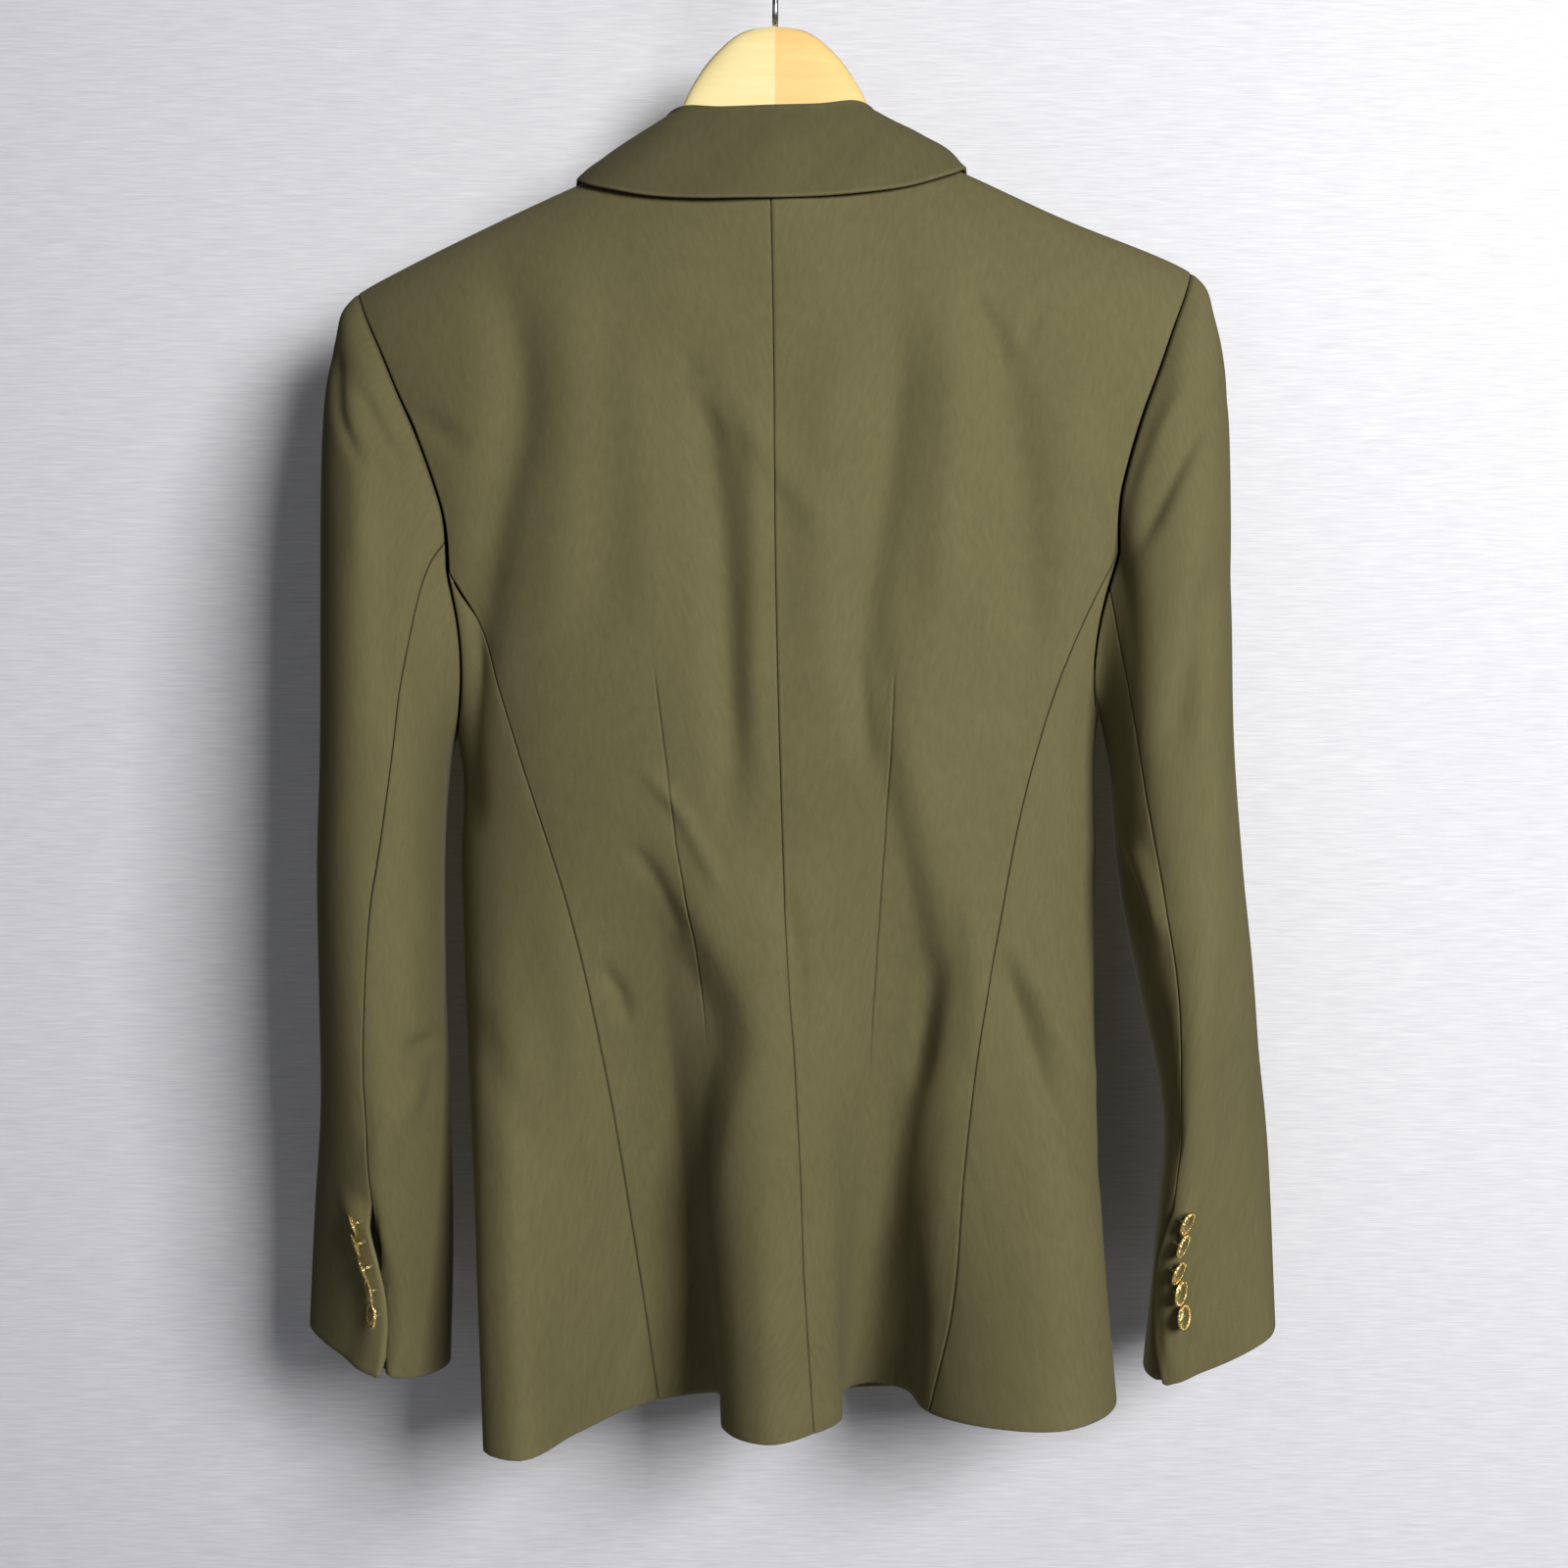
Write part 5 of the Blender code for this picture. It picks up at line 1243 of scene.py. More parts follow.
@dataclass
class Torso:
    """The jacket's body: two backs, two side panels and two fronts."""

    body: Body
    hanging: Hanging
    lens: Lens
    gap: float = 0.0001
    pitch: float = 0.0031
    upper_rows: int = 58
    lower_rows: int = 150
    darts: dict[Side, Rows] = field(default_factory=lambda: {
        Side.LEFT: ((640, 470), (667, 680), (690, 860), (712, 960), (722, 1080), (727, 1180)),
        Side.RIGHT: ((938, 470), (914, 680), (903, 860), (892, 1020), (886, 1130), (884, 1230))})
    dart_heights: dict[Side, tuple[float, float]] = field(default_factory=lambda: {
        Side.LEFT: (-0.628, -0.428), Side.RIGHT: (-0.652, -0.428)})

    def heights(self) -> tuple[np.ndarray, np.ndarray]:
        """How far each upper row rises, and how far each lower row falls."""
        rise = np.sin(0.5 * math.pi * (1 - np.arange(self.upper_rows) / self.upper_rows))
        return rise ** (2 / self.body.roof_power), np.linspace(0, 1, self.lower_rows + 1)

    def dart_share(self, side: Side) -> Track:
        """Share of the back's half plan at a dart's line, at each height.

        Args:
            side: The wearer's side.

        Returns:
            The shares.
        """
        line = np.array(self.darts[side], float)
        shares = np.linspace(0, 1, 1601)
        heights = np.linspace(self.body.chest, self.body.back_hem, 48)
        found = []
        for z in heights:
            row = self.body.drape(Face.BACK, shares, np.full(shares.shape, z))
            seen = self.lens.seen(self.hanging.points(row))
            across = seen[:, 0] - np.interp(seen[:, 1], line[:, 1], line[:, 0])
            crossings = np.nonzero(np.diff(np.sign(across)))[0]
            near = [shares[i] for i in crossings] or [shares[np.argmin(np.abs(across))]]
            last = found[-1] if found else (0.30 if side is Side.LEFT else 0.68)
            found.append(min(near, key=lambda s: abs(s - last)))
        return Track(heights, found)

    def grid(self, face: Face, side: Side, spread: np.ndarray, inner: Callable,
             tops: np.ndarray, armhole: Callable, shares: tuple[Callable, Callable],
             dart: tuple[int, Track] | None = None) -> np.ndarray:
        """Points of a back or front from its inner edge out to the armhole and side seam.

        Args:
            face: Back or front.
            side: The wearer's side.
            spread: The columns' places across the chest, from 0 to 1.
            inner: The inner edge above the chest, as x at each height.
            tops: Height of each column's top.
            armhole: The armhole's edge, as x at each height.
            shares: The lower inner and outer edges, as shares of the half plan.
            dart: A column that follows a dart, and the dart's share at each height.

        Returns:
            The grid, upright.
        """
        body, sign = self.body, side.sign
        rises, falls = self.heights()
        points = []
        for rise in rises:
            heights = body.chest + rise * (tops - body.chest)
            start = inner(heights[0])
            end = sign * (armhole(heights[-1]) - self.gap / 2)
            xs = start + spread * (end - start)
            row = body.face_point(face, xs, heights)
            if rise >= 1.0:
                ridge = np.abs(xs) >= body.neck - 0.0005
                row[ridge, 1] = (-1 if face is Face.BACK else 1) * self.gap / 2
            points.append(row)
        first, last = shares
        start, end = inner(body.chest), sign * (armhole(body.chest) - self.gap / 2)
        places = np.linspace(0, 1, 1601)
        across = body.drape(face, places, np.full(places.shape, body.chest))[:, 0]
        wanted = np.interp(start + spread * (end - start), across, places)
        low, high = first(body.chest), last(body.chest)
        steps = (wanted - low) / (high - low)
        for fall in falls:
            rough = low + steps * (high - low)
            z = body.chest + fall * (body.hem(face, rough) - body.chest)
            edges = first(z), last(z)
            moved = steps
            if dart:
                column, share = dart
                own = np.clip((share(z) - edges[0]) / (edges[1] - edges[0]), 0.05, 0.95)
                ease = smooth_step(body.chest - z, 0.0, 0.05)
                place = steps[column] + (own - steps[column]) * ease
                moved = np.where(steps <= steps[column], steps * place / steps[column],
                                 1 - (1 - steps) * (1 - place) / (1 - steps[column]))
            points.append(body.drape(face, edges[0] + moved * (edges[1] - edges[0]), z))
        return np.array(points)

    def back(self, side: Side) -> Cloth:
        """Half of the back, with its waist dart.

        Args:
            side: The wearer's side.

        Returns:
            The cloth.
        """
        body, sign = self.body, side.sign
        dart_share = self.dart_share(side)
        start, end = sign * self.gap / 2, sign * body.back_armhole(body.chest)
        x = float(body.drape(Face.BACK, dart_share(body.chest), np.array(body.chest))[0])
        share = (x - start) / (end - start)
        neck = body.neck / body.tip
        spread = seam_spaced((0.0, share, 1.0), body.tip * 0.9, self.pitch)
        spread[np.argmin(np.abs(spread - neck))] = neck
        column = int(np.argmin(np.abs(spread - share)))
        x = sign * spread * body.tip
        tops = np.where(np.abs(x) < body.neck - 0.0005,
                        body.neckline(Face.BACK, x), body.shoulder(x))

        def nudge(z: np.ndarray) -> np.ndarray:
            """Half the seam's gap, as a share."""
            return sign * self.gap / 2 / body.half_length(Face.BACK, z)

        grid = self.grid(
            Face.BACK, side, spread, lambda z: body.centre(z) + sign * self.gap / 2, tops,
            body.back_armhole, (lambda z: body.centre_share(z) + nudge(z),
                                lambda z: body.panel_share[side](z) - nudge(z)),
            (column, dart_share))
        last = len(spread) - 1
        return Cloth(f"cloth_back_{side.value}", self.hanging.points(grid), np.array([0, -1.0, 0]),
                     seams=(0, column, last), dart_ends={column: self.dart_heights[side]},
                     top_seam=True)

    def front(self, side: Side) -> Cloth:
        """A front, from its rolled edge to the armhole; the right one lies outside.

        Args:
            side: The wearer's side.

        Returns:
            The cloth.
        """
        body, sign = self.body, side.sign
        top_x = body.roll_top[0]
        neck = (body.neck - top_x) / (body.tip - top_x)
        spread = seam_spaced((0.0, 1.0), body.tip * 0.9, self.pitch)
        spread[np.argmin(np.abs(spread - neck))] = neck
        x = top_x + spread * (body.tip - top_x)
        tops = np.where(x < body.neck - 0.0005, body.neckline(Face.FRONT, x), body.shoulder(x))
        grid = self.grid(
            Face.FRONT, side, spread, lambda z: sign * body.roll_line(z), tops,
            body.front_armhole, (body.edge_share[side], lambda z: body.side_share[side](z)
                                 - sign * self.gap / 2 / body.half_length(Face.FRONT, z)))
        lift = body.wrap(side, grid[..., 0], grid[..., 2])
        grid = grid + lift[..., None] * grid_normals(grid, np.array([0, 1.0, 0]))
        return Cloth(f"cloth_front_{side.value}", self.hanging.points(grid), np.array([0, 1.0, 0]),
                     seams=(len(spread) - 1,), top_seam=True, free_edges=(0,), facing=0.040)

    def side_panel(self, side: Side) -> Cloth:
        """The panel under the arm, from the back's long seam to the front's.

        Args:
            side: The wearer's side.

        Returns:
            The cloth.
        """
        body = self.body
        steps = seam_spaced((0.0, 1.0), 0.14, self.pitch)
        tops = body.armhole_floor(steps)
        rough = body.side_place(side, steps, np.full(steps.shape, body.back_hem), self.gap)
        over = np.maximum(-rough, rough - 1)
        run = over * (body.half_length(Face.BACK, body.back_hem)
                      / body.half_length(Face.FRONT, body.back_hem))
        hems = np.where(over > 0, body.hem(Face.FRONT, np.clip(run, 0, 1)), body.back_hem)
        points = []
        for fall in self.heights()[1]:
            z = tops + fall * (hems - tops)
            points.append(body.drape(Face.BACK, body.side_place(side, steps, z, self.gap), z))
        return Cloth(f"cloth_side_{side.value}", self.hanging.points(np.array(points)),
                     np.array([side.sign * 1.0, -0.3, 0]), seams=(0, len(steps) - 1), top_seam=True)

    def cloths(self) -> list[Cloth]:
        """Every panel of the body, with its folds and seams.

        Returns:
            The cloths.
        """
        made = []
        for side in Side:
            for cloth, folds in ((self.back(side), BACK_FOLDS), (self.side_panel(side), BACK_FOLDS),
                                 (self.front(side), FRONT_FOLDS)):
                rear = cloth.normals[..., 1]
                shown = smooth_step(rear if folds is FRONT_FOLDS else -rear, -0.1, 0.5)
                shoulder = smooth_step(cloth.down, 0.0, 0.03)
                relief = folds_relief(folds, self.lens.seen(cloth.points)) * shown * shoulder
                if folds is FRONT_FOLDS:
                    relief *= smooth_step(cloth.from_free_edges(), 0.02, 0.07)
                cloth.push(relief)
                cloth.sew(side.sign * 1.3)
                cloth.wear()
                made.append(cloth)
        return made


@dataclass
class Lapels:
    """The lapels, each turned back on its front."""

    body: Body
    hanging: Hanging
    thickness: float = 0.0014
    lift: float = 0.0020
    notch: tuple[float, float] = (0.098, -0.207)
    notch_share: float = 0.55
    roll_lap: float = 0.0008        # from the front's own edge to the lapel's roll
    ends: float = 0.003             # how far it runs past both ends of the roll
    belly: float = 0.0006
    stitched: tuple[float, float, float] = (0.004, 0.0014, 0.00018)
    rows: int = 110
    edge: Rows = ((0.00, 0.130, -0.198), (0.12, 0.124, -0.226), (0.35, 0.100, -0.290),
                  (0.60, 0.058, -0.362), (0.82, 0.005, -0.425), (1.00, -0.056, -0.469))

    def cloth(self, side: Side) -> Cloth:
        """One lapel: the front's own surface, moved outward.

        Args:
            side: The wearer's side.

        Returns:
            The lapel's cloth.
        """
        body = self.body
        top_z = body.roll_top[1]
        steps = np.unique(np.concatenate([
            seam_spaced((0.0, 1.0), 0.07, 0.0026), [self.notch_share]]))
        edge_track = track_of(self.edge)
        points = []
        for down in np.linspace(0, 1, self.rows + 1):
            z_roll = top_z - self.ends + down * (body.break_height - top_z + 2 * self.ends)
            roll = np.array([float(body.roll_line(z_roll)) + self.roll_lap, z_roll])
            edge = edge_track(down)
            kink = np.array(self.notch) - (roll + self.notch_share * (edge - roll))
            bend = np.minimum(steps / self.notch_share, (1 - steps) / (1 - self.notch_share))
            flat = (roll + steps[:, None] * (edge - roll)
                    + kink * bend[:, None] * max(1 - 4 * down, 0) ** 2)
            x, z = flat[:, 0] * side.sign, flat[:, 1]
            lift = body.wrap(side, x, z) + self.lift + self.belly * np.sin(math.pi * steps)
            points.append(body.face_point(Face.FRONT, x, z)
                          + lift[:, None] * body.face_normal(Face.FRONT, x, z))
        cloth = Cloth(f"cloth_lapel_{side.value}", self.hanging.points(np.array(points)),
                      np.array([0, 1.0, 0]), self.thickness, facing=1.0,
                      free_edges=(len(steps) - 1,))
        inset, width, depth = self.stitched     # the line of stitches beside its edge
        cloth.push(-bump(cloth.from_column(len(steps) - 1) - inset, width, depth))
        cloth.wear()
        return cloth


@dataclass
class Collar:
    """The stand rises from the neckline, rolls over and falls back on the shoulders."""

    body: Body
    hanging: Hanging
    thickness: float = 0.0016
    roll_radius: float = 0.0021
    clear: float = 0.0040
    ridge_clear: float = 0.0014
    neck_axis: float = 0.004
    foot_gap: float = 0.0006
    columns: int = 190
    easing: int = 10                # rounds of smoothing across the turn to the fronts
    waves: Rows = ((47, 0.6, 0.0006), (101, 2, 0.0004))     # turns, phase, height
    stitched: tuple[float, float, float] = (0.0045, 0.0013, 0.00016)
    places: Rows = (
        (0.00, 0.000, -0.1715, 0.000, -0.040, -0.1345, 0.000, -0.1882, 0.0030),
        (0.22, 0.028, -0.1690, 0.026, -0.037, -0.1335, 0.040, -0.1866, 0.0030),
        (0.42, 0.055, -0.1610, 0.047, -0.027, -0.1292, 0.076, -0.1800, 0.0035),
        (0.56, 0.072, -0.1520, 0.0555, -0.011, -0.1300, 0.099, -0.1700, 0.0040),
        (0.66, 0.075, -0.1505, 0.0585, 0.006, -0.1335, 0.105, -0.1620, 0.0045),
        (0.78, 0.072, -0.1560, 0.0620, 0.022, -0.1440, 0.106, -0.1740, 0.0070),
        (0.90, 0.066, -0.1655, 0.0630, 0.034, -0.1585, 0.103, -0.1900, 0.0070),
        (1.00, 0.063, -0.1705, 0.0620, 0.041, -0.1675, 0.097, -0.2040, 0.0050))

    def ground(self, x: float, z: float, face: Face) -> np.ndarray:
        """Where the collar's edge lies on the shoulders, just off their cloth.

        Args:
            x: How far across.
            z: The height.
            face: Back or front.

        Returns:
            The place.
        """
        body = self.body
        top = float(body.shoulder(x))
        if z >= top - 0.003:
            y = body.face_point(face, x, top - 0.001)[1] * (top - z) / 0.003
            return np.array([x, y, z + self.clear + self.ridge_clear])
        point = body.face_point(face, x, z)
        clear = self.clear + self.ridge_clear * (1 - smooth_step(abs(point[1]), 0.010, 0.035))
        return point + clear * body.face_normal(face, np.array(x), np.array(z))

    def line(self, half: float, track: Track) -> np.ndarray:
        """Outer line of the collar at one place, from the foot of its stand to its edge.

        Args:
            half: The place, from -1 at the left end to 1 at the right.
            track: The levels of the collar.

        Returns:
            The points of the line.
        """
        base_x, base_z, roll_x, roll_y, roll_z, edge_x, edge_z, bulge = track(abs(half))
        face = Face.FRONT if abs(half) > 0.64 else Face.BACK
        low = min(base_z, float(self.body.shoulder(base_x)) - 0.0002)
        foot = self.body.face_point(face, base_x, low)
        inward = unit(np.array([-roll_x, self.neck_axis - roll_y, 0.0]))
        up = np.array([0.0, 0.0, 1.0])
        foot = np.array([foot[0], foot[1], base_z + self.foot_gap]) + self.thickness * inward
        fold = np.array([roll_x, roll_y, roll_z - self.roll_radius])
        turns = np.radians(np.linspace(0, 180, 13))[:, None]
        roll = fold + self.roll_radius * (np.cos(turns) * inward + np.sin(turns) * up)
        stand = foot + np.linspace(0, 1, 9)[:-1, None] * (roll[0] - foot)
        edge = self.ground(edge_x, edge_z, face)
        middle = 0.5 * (roll[-1] + edge) + 2 * bulge * unit(up - inward)
        s = np.concatenate([np.linspace(0, 1, 22)[1:-1], [0.975, 0.99, 1.0]])[:, None]
        fall = (1 - s) ** 2 * roll[-1] + 2 * s * (1 - s) * middle + s * s * edge
        return np.concatenate([stand, roll, fall]) * np.array([-1 if half < 0 else 1, 1, 1])

    def cloth(self) -> Cloth:
        """The collar's cloth, with soft waves across its fall.

        Returns:
            The cloth, whose rows run down over the fold.
        """
        track = track_of(self.places)
        lines = [self.line(half, track) for half in np.linspace(-1, 1, self.columns + 1)]
        grid = np.swapaxes(np.array(lines), 0, 1)
        for _ in range(self.easing):
            grid[:, 1:-1] = 0.25 * (grid[:, :-2] + 2 * grid[:, 1:-1] + grid[:, 2:])
        rough = grid_normals(grid, np.array([0, 0, 0.0]))
        rear = rough[-4, self.columns // 2, 1]
        cloth = Cloth("cloth_collar", self.hanging.points(grid), rough * (1 if rear < 0 else -1),
                      self.thickness, facing=1.0)
        fall = smooth_step(np.arange(len(grid))[:, None], 21, 32)
        cloth.push(fall * sum(height * np.sin(cloth.across * turns + phase)
                              for turns, phase, height in self.waves))
        inset, width, depth = self.stitched     # the line of stitches beside its edge
        cloth.push(-bump(cloth.down[-1] - cloth.down - inset, width, depth))
        cloth.wear()
        return cloth


@dataclass
class Sleeves:
    """Two-piece sleeves with open cuff vents; they hang by themselves, upright."""

    body: Body
    hanging: Hanging
    lens: Lens
    thickness: float = 0.0016
    cuff: float = -0.790
    armhole_step: float = 0.0002
    cap_ease: float = 0.028
    front_seam: float = 236.0
    turn_gap: float = 0.12
    vent_top: float = -0.700
    vent_lift: float = 0.0036
    vent_dip: float = 0.0058        # how far the under piece sinks beside it
    vent_rise: float = 0.012
    vent_blend: float = 36.0
    vent_fold: float = 0.0011       # extra thickness of the vent's folded edge
    rows: int = 176
    pitch: float = 0.0031
    cap_roll: tuple[float, float, float] = (0.012, 0.010, 0.0022)   # place, width, height
    fold_width: tuple[float, float] = (0.0018, 0.0042)
    edge_wear: tuple[float, float, float] = (0.0006, 0.0016, 0.5)
    seam_fade: float = 0.004        # the seam's line ends this near to the open vent
    vent_sink: tuple[float, float] = (3.0, 19.0)            # degrees past the vent's edge
    # Painted shade: where the dark strip painted on each under piece beside the vent ends, in
    # degrees past the vent's edge, where the lifted flap would shade it.
    vent_shade: dict[Side, tuple[float, float]] = field(default_factory=lambda: {
        Side.LEFT: (4.5, 8.5), Side.RIGHT: (8.0, 12.5)})    # degrees past the vent's edge
    vent_laps: Rows = (
        (-0.790, 4.0), (-0.775, 12.0), (-0.755, 15.0), (-0.735, 11.0), (-0.725, 6.0),
        (-0.712, 0.0), (-0.700, 0.0))
    levels: dict[Side, Rows] = field(default_factory=lambda: {
        Side.LEFT: (
            (-0.790, 0.2140, 0.004, 0.0375, 0.048, 15, 0.33, 1.50),
            (-0.720, 0.2105, -0.003, 0.0365, 0.055, 9, 0.20, 1.60),
            (-0.660, 0.2085, -0.008, 0.0340, 0.060, 7, 0.08, 1.80),
            (-0.600, 0.2095, -0.010, 0.0330, 0.064, 8, 0.00, 2.05),
            (-0.530, 0.2115, -0.006, 0.0330, 0.068, 9, 0.00, 2.25),
            (-0.470, 0.2120, -0.001, 0.0320, 0.071, 9, 0.00, 2.40),
            (-0.400, 0.2120, 0.000, 0.0320, 0.071, 9, 0.00, 2.40),
            (-0.280, 0.2120, 0.000, 0.0325, 0.066, 9, 0.00, 2.40),
            (-0.200, 0.2120, 0.000, 0.0320, 0.060, 9, 0.00, 2.40)),
        Side.RIGHT: (
            (-0.790, 0.2355, 0.004, 0.0355, 0.047, 40, 0.33, 1.55),
            (-0.720, 0.2365, -0.003, 0.0265, 0.055, 36, 0.20, 1.65),
            (-0.660, 0.2355, -0.008, 0.0235, 0.060, 27, 0.08, 1.85),
            (-0.600, 0.2262, -0.010, 0.0300, 0.064, 15, 0.00, 2.05),
            (-0.530, 0.2172, -0.006, 0.0330, 0.068, 12, 0.00, 2.25),
            (-0.470, 0.2150, -0.001, 0.0320, 0.071, 12, 0.00, 2.40),
            (-0.400, 0.2140, 0.000, 0.0320, 0.071, 12, 0.00, 2.40),
            (-0.280, 0.2130, 0.000, 0.0325, 0.066, 12, 0.00, 2.40),
            (-0.200, 0.2130, 0.000, 0.0320, 0.060, 12, 0.00, 2.40))})
    seams: dict[Side, Rows] = field(default_factory=lambda: {
        Side.LEFT: (
            (-0.790, 79), (-0.757, 81), (-0.725, 82), (-0.700, 82), (-0.681, 81),
            (-0.634, 78), (-0.596, 81), (-0.549, 87), (-0.517, 93), (-0.473, 101),
            (-0.444, 106), (-0.408, 110), (-0.373, 107)),
        Side.RIGHT: (
            (-0.790, 89), (-0.762, 90), (-0.744, 93), (-0.724, 98), (-0.705, 95),
            (-0.683, 95), (-0.655, 99), (-0.604, 102), (-0.571, 103), (-0.539, 104),
            (-0.485, 115), (-0.437, 128), (-0.406, 132), (-0.373, 129))})

    def __post_init__(self) -> None:
        """Work out the tracks and both armholes."""
        self.level = {side: track_of(rows) for side, rows in self.levels.items()}
        self.seam = {side: track_of(rows) for side, rows in self.seams.items()}
        self.lap = track_of(self.vent_laps)
        self.armholes = {side: self.armhole(side) for side in Side}

    def armhole(self, side: Side) -> tuple[np.ndarray, np.ndarray]:
        """The armhole's rear half, from the shoulder tip to its bottom, and its fore half.

        Args:
            side: The wearer's side.

        Returns:
            Both halves, as they hang.
        """
        body, sign = self.body, side.sign
        heights = np.linspace(float(body.shoulder(sign * body.tip)), body.chest, 60)
        back = body.face_point(Face.BACK, sign * body.back_armhole(heights), heights)
        steps = np.linspace(0, 1, 81)[1:-1]
        floor_z = body.armhole_floor(steps)
        floor = body.drape(Face.BACK, body.side_place(side, steps, floor_z, 0.0003), floor_z)
        front = body.face_point(Face.FRONT, sign * body.front_armhole(heights[::-1]), heights[::-1])
        back[0, 1] = front[-1, 1] = 0.0
        middle = len(floor) // 2
        return (self.hanging.points(np.concatenate([back, floor[:middle + 1]])),
                self.hanging.points(np.concatenate([floor[middle:], front])))

    def armhole_at(self, side: Side, degrees: np.ndarray) -> np.ndarray:
        """Points of the armhole, by degrees round from its outer side over the back.

        Args:
            side: The wearer's side.
            degrees: The degrees.

        Returns:
            The points.
        """
        degrees = np.asarray(degrees, float) % 360
        rear, fore = self.armholes[side]
        point = np.where((degrees <= 180)[..., None], along(rear, np.minimum(degrees, 180) / 180),
                         along(fore, np.maximum(degrees - 180, 0) / 180))
        return point + np.array([side.sign * self.armhole_step, 0, 0])

    def tube(self, side: Side, degrees: np.ndarray, z: np.ndarray) -> np.ndarray:
        """Points of the plain sleeve tube: 0 is its outer side, 90 the back.

        Args:
            side: The wearer's side.
            degrees: Degrees round the tube.
            z: Heights.

        Returns:
            The points.
        """
        x, y, half_width, half_depth, turn, slant, power = np.moveaxis(
            self.level[side](z), -1, 0)
        angle, turn, power = np.radians(degrees), np.radians(turn), 2 / power
        out = half_width * np.sign(np.cos(angle)) * np.abs(np.cos(angle)) ** power
        rear = half_depth * np.sign(np.sin(angle)) * np.abs(np.sin(angle)) ** power
        turned_out = out * np.cos(turn) - rear * np.sin(turn)
        turned_rear = rear * np.cos(turn) + out * np.sin(turn)
        return np.stack([side.sign * (x + turned_out), y - turned_rear, z + slant * turned_out], -1)

    def points(self, side: Side, degrees: np.ndarray, fall: np.ndarray) -> np.ndarray:
        """Points of the sleeve, at shares of the way from its armhole to its cuff.

        Args:
            side: The wearer's side.
            degrees: Degrees round the tube.
            fall: The shares.

        Returns:
            The points.
        """
        start = self.armhole_at(side, degrees)
        z = start[..., 2] + fall * (self.cuff - start[..., 2])
        ease = np.exp(-(start[..., 2] - z) / self.cap_ease)[..., None]
        moved = start - self.tube(side, degrees, start[..., 2])
        return self.tube(side, degrees, z) + ease * moved

    def vent_edge(self, side: Side, z: np.ndarray) -> np.ndarray:
        """Where the upper sleeve ends: at the seam, or past it at the vent."""
        return self.seam[side](z) - self.turn_gap + np.maximum(self.lap(z), 0.0)

    def row_heights(self, side: Side) -> tuple[np.ndarray, np.ndarray]:
        """Share of the way down of each row, and the seam's height there.

        Args:
            side: The wearer's side.

        Returns:
            The shares and the heights.
        """
        fall = np.linspace(0, 1, self.rows + 1) ** 1.12
        top = self.armhole_at(side, np.array(110.0))[2]
        z = top + fall * (self.cuff - top)
        tops = self.armhole_at(side, self.seam[side](z))[..., 2]
        return fall, tops + fall * (self.cuff - tops)

    def cloth(self, side: Side, upper: bool) -> Cloth:
        """One piece of a sleeve.

        Args:
            side: The wearer's side.
            upper: The outer piece, which laps the other at the vent.

        Returns:
            The sleeve's cloth.
        """
        fall, z = self.row_heights(side)
        if upper:
            first = np.full(z.shape, self.front_seam - 360 + self.turn_gap)
            last = self.vent_edge(side, z)
        else:
            first = self.seam[side](z) + self.turn_gap
            last = np.full(z.shape, self.front_seam - self.turn_gap)
        spread = seam_spaced((0.0, 1.0), 0.20 if upper else 0.12, self.pitch)
        degrees = first[:, None] + spread * (last - first)[:, None]
        grid = self.points(side, degrees, fall[:, None])
        inside = grid.mean(axis=1, keepdims=True)
        outward = grid - inside + np.array([side.sign * (0.02 if upper else -0.02), 0, 0])
        normals = grid_normals(grid, outward)
        name = "upper" if upper else "under"
        vent_column = len(spread) - 1 if upper else 0
        cloth = Cloth(f"cloth_sleeve_{name}_{side.value}", grid, outward, self.thickness,
                      seams=(0, len(spread) - 1), top_seam=True)
        shown = smooth_step(-normals[..., 1], -0.2, 0.4) * smooth_step(cloth.down, 0.004, 0.02)
        cloth.push(folds_relief(SLEEVE_FOLDS, self.lens.seen(cloth.points)) * shown)
        cap = smooth_step(np.cos(np.radians(degrees)), 0.1, 0.8)
        below, width, height = self.cap_roll    # the cap swells a little below its seam
        cloth.push(bump(cloth.down - below, width, height) * cap)
        cloth.sew(1.9 * side.sign + (0.7 if upper else 0.0))
        from_vent = cloth.from_column(vent_column)
        if upper:
            edge = last[:, None]
            near = (degrees - edge + self.vent_blend) / (self.vent_blend - 14)
            lift = (self.vent_lift * smooth_step(near, 0, 1)
                    * smooth_step(self.vent_top - z, 0.0, self.vent_rise)[:, None])
            open_part = smooth_step(self.vent_top - z, 0.0, 0.02)[:, None]
            fold = open_part * (1 - smooth_step(from_vent, *self.fold_width))
            cloth.push(lift + 0.5 * self.vent_fold * fold)
            cloth.extra = self.vent_fold * fold
            inset, width, strength = self.edge_wear
            cloth.worn = np.maximum(cloth.worn,
                                    open_part * bump(from_vent - inset, width, strength))
        else:
            open_part = smooth_step(self.vent_top - z, -0.01, 0.03)[:, None]
            past = degrees - self.vent_edge(side, z)[:, None]
            cloth.push(-self.vent_dip * open_part * (1 - smooth_step(past, *self.vent_sink)))
        cloth.seam *= 1 - open_part * bump(from_vent, self.seam_fade)
        # Painted shade: a dark strip on the under piece beside the vent's edge, put into the seam
        # lines' mask, stands for the shadow of the lifted flap.
        if not upper:
            cloth.seam = np.maximum(cloth.seam, 0.9 * open_part
                                    * (1 - smooth_step(past, *self.vent_shade[side])))
        cloth.wear()
        return cloth

    def cloths(self) -> list[Cloth]:
        """All four sleeve pieces."""
        return [self.cloth(side, upper) for side in Side for upper in (True, False)]


# ---- hardware
def select_only(piece: bpy.types.Object | None = None) -> None:
    """Leave edit mode and select one piece, or none, as the active one.

    Args:
        piece: The piece.
    """
    if bpy.context.mode != "OBJECT":
        bpy.ops.object.mode_set(mode="OBJECT")
    bpy.ops.object.select_all(action="DESELECT")
    bpy.context.view_layer.objects.active = piece
    if piece:
        piece.select_set(True)


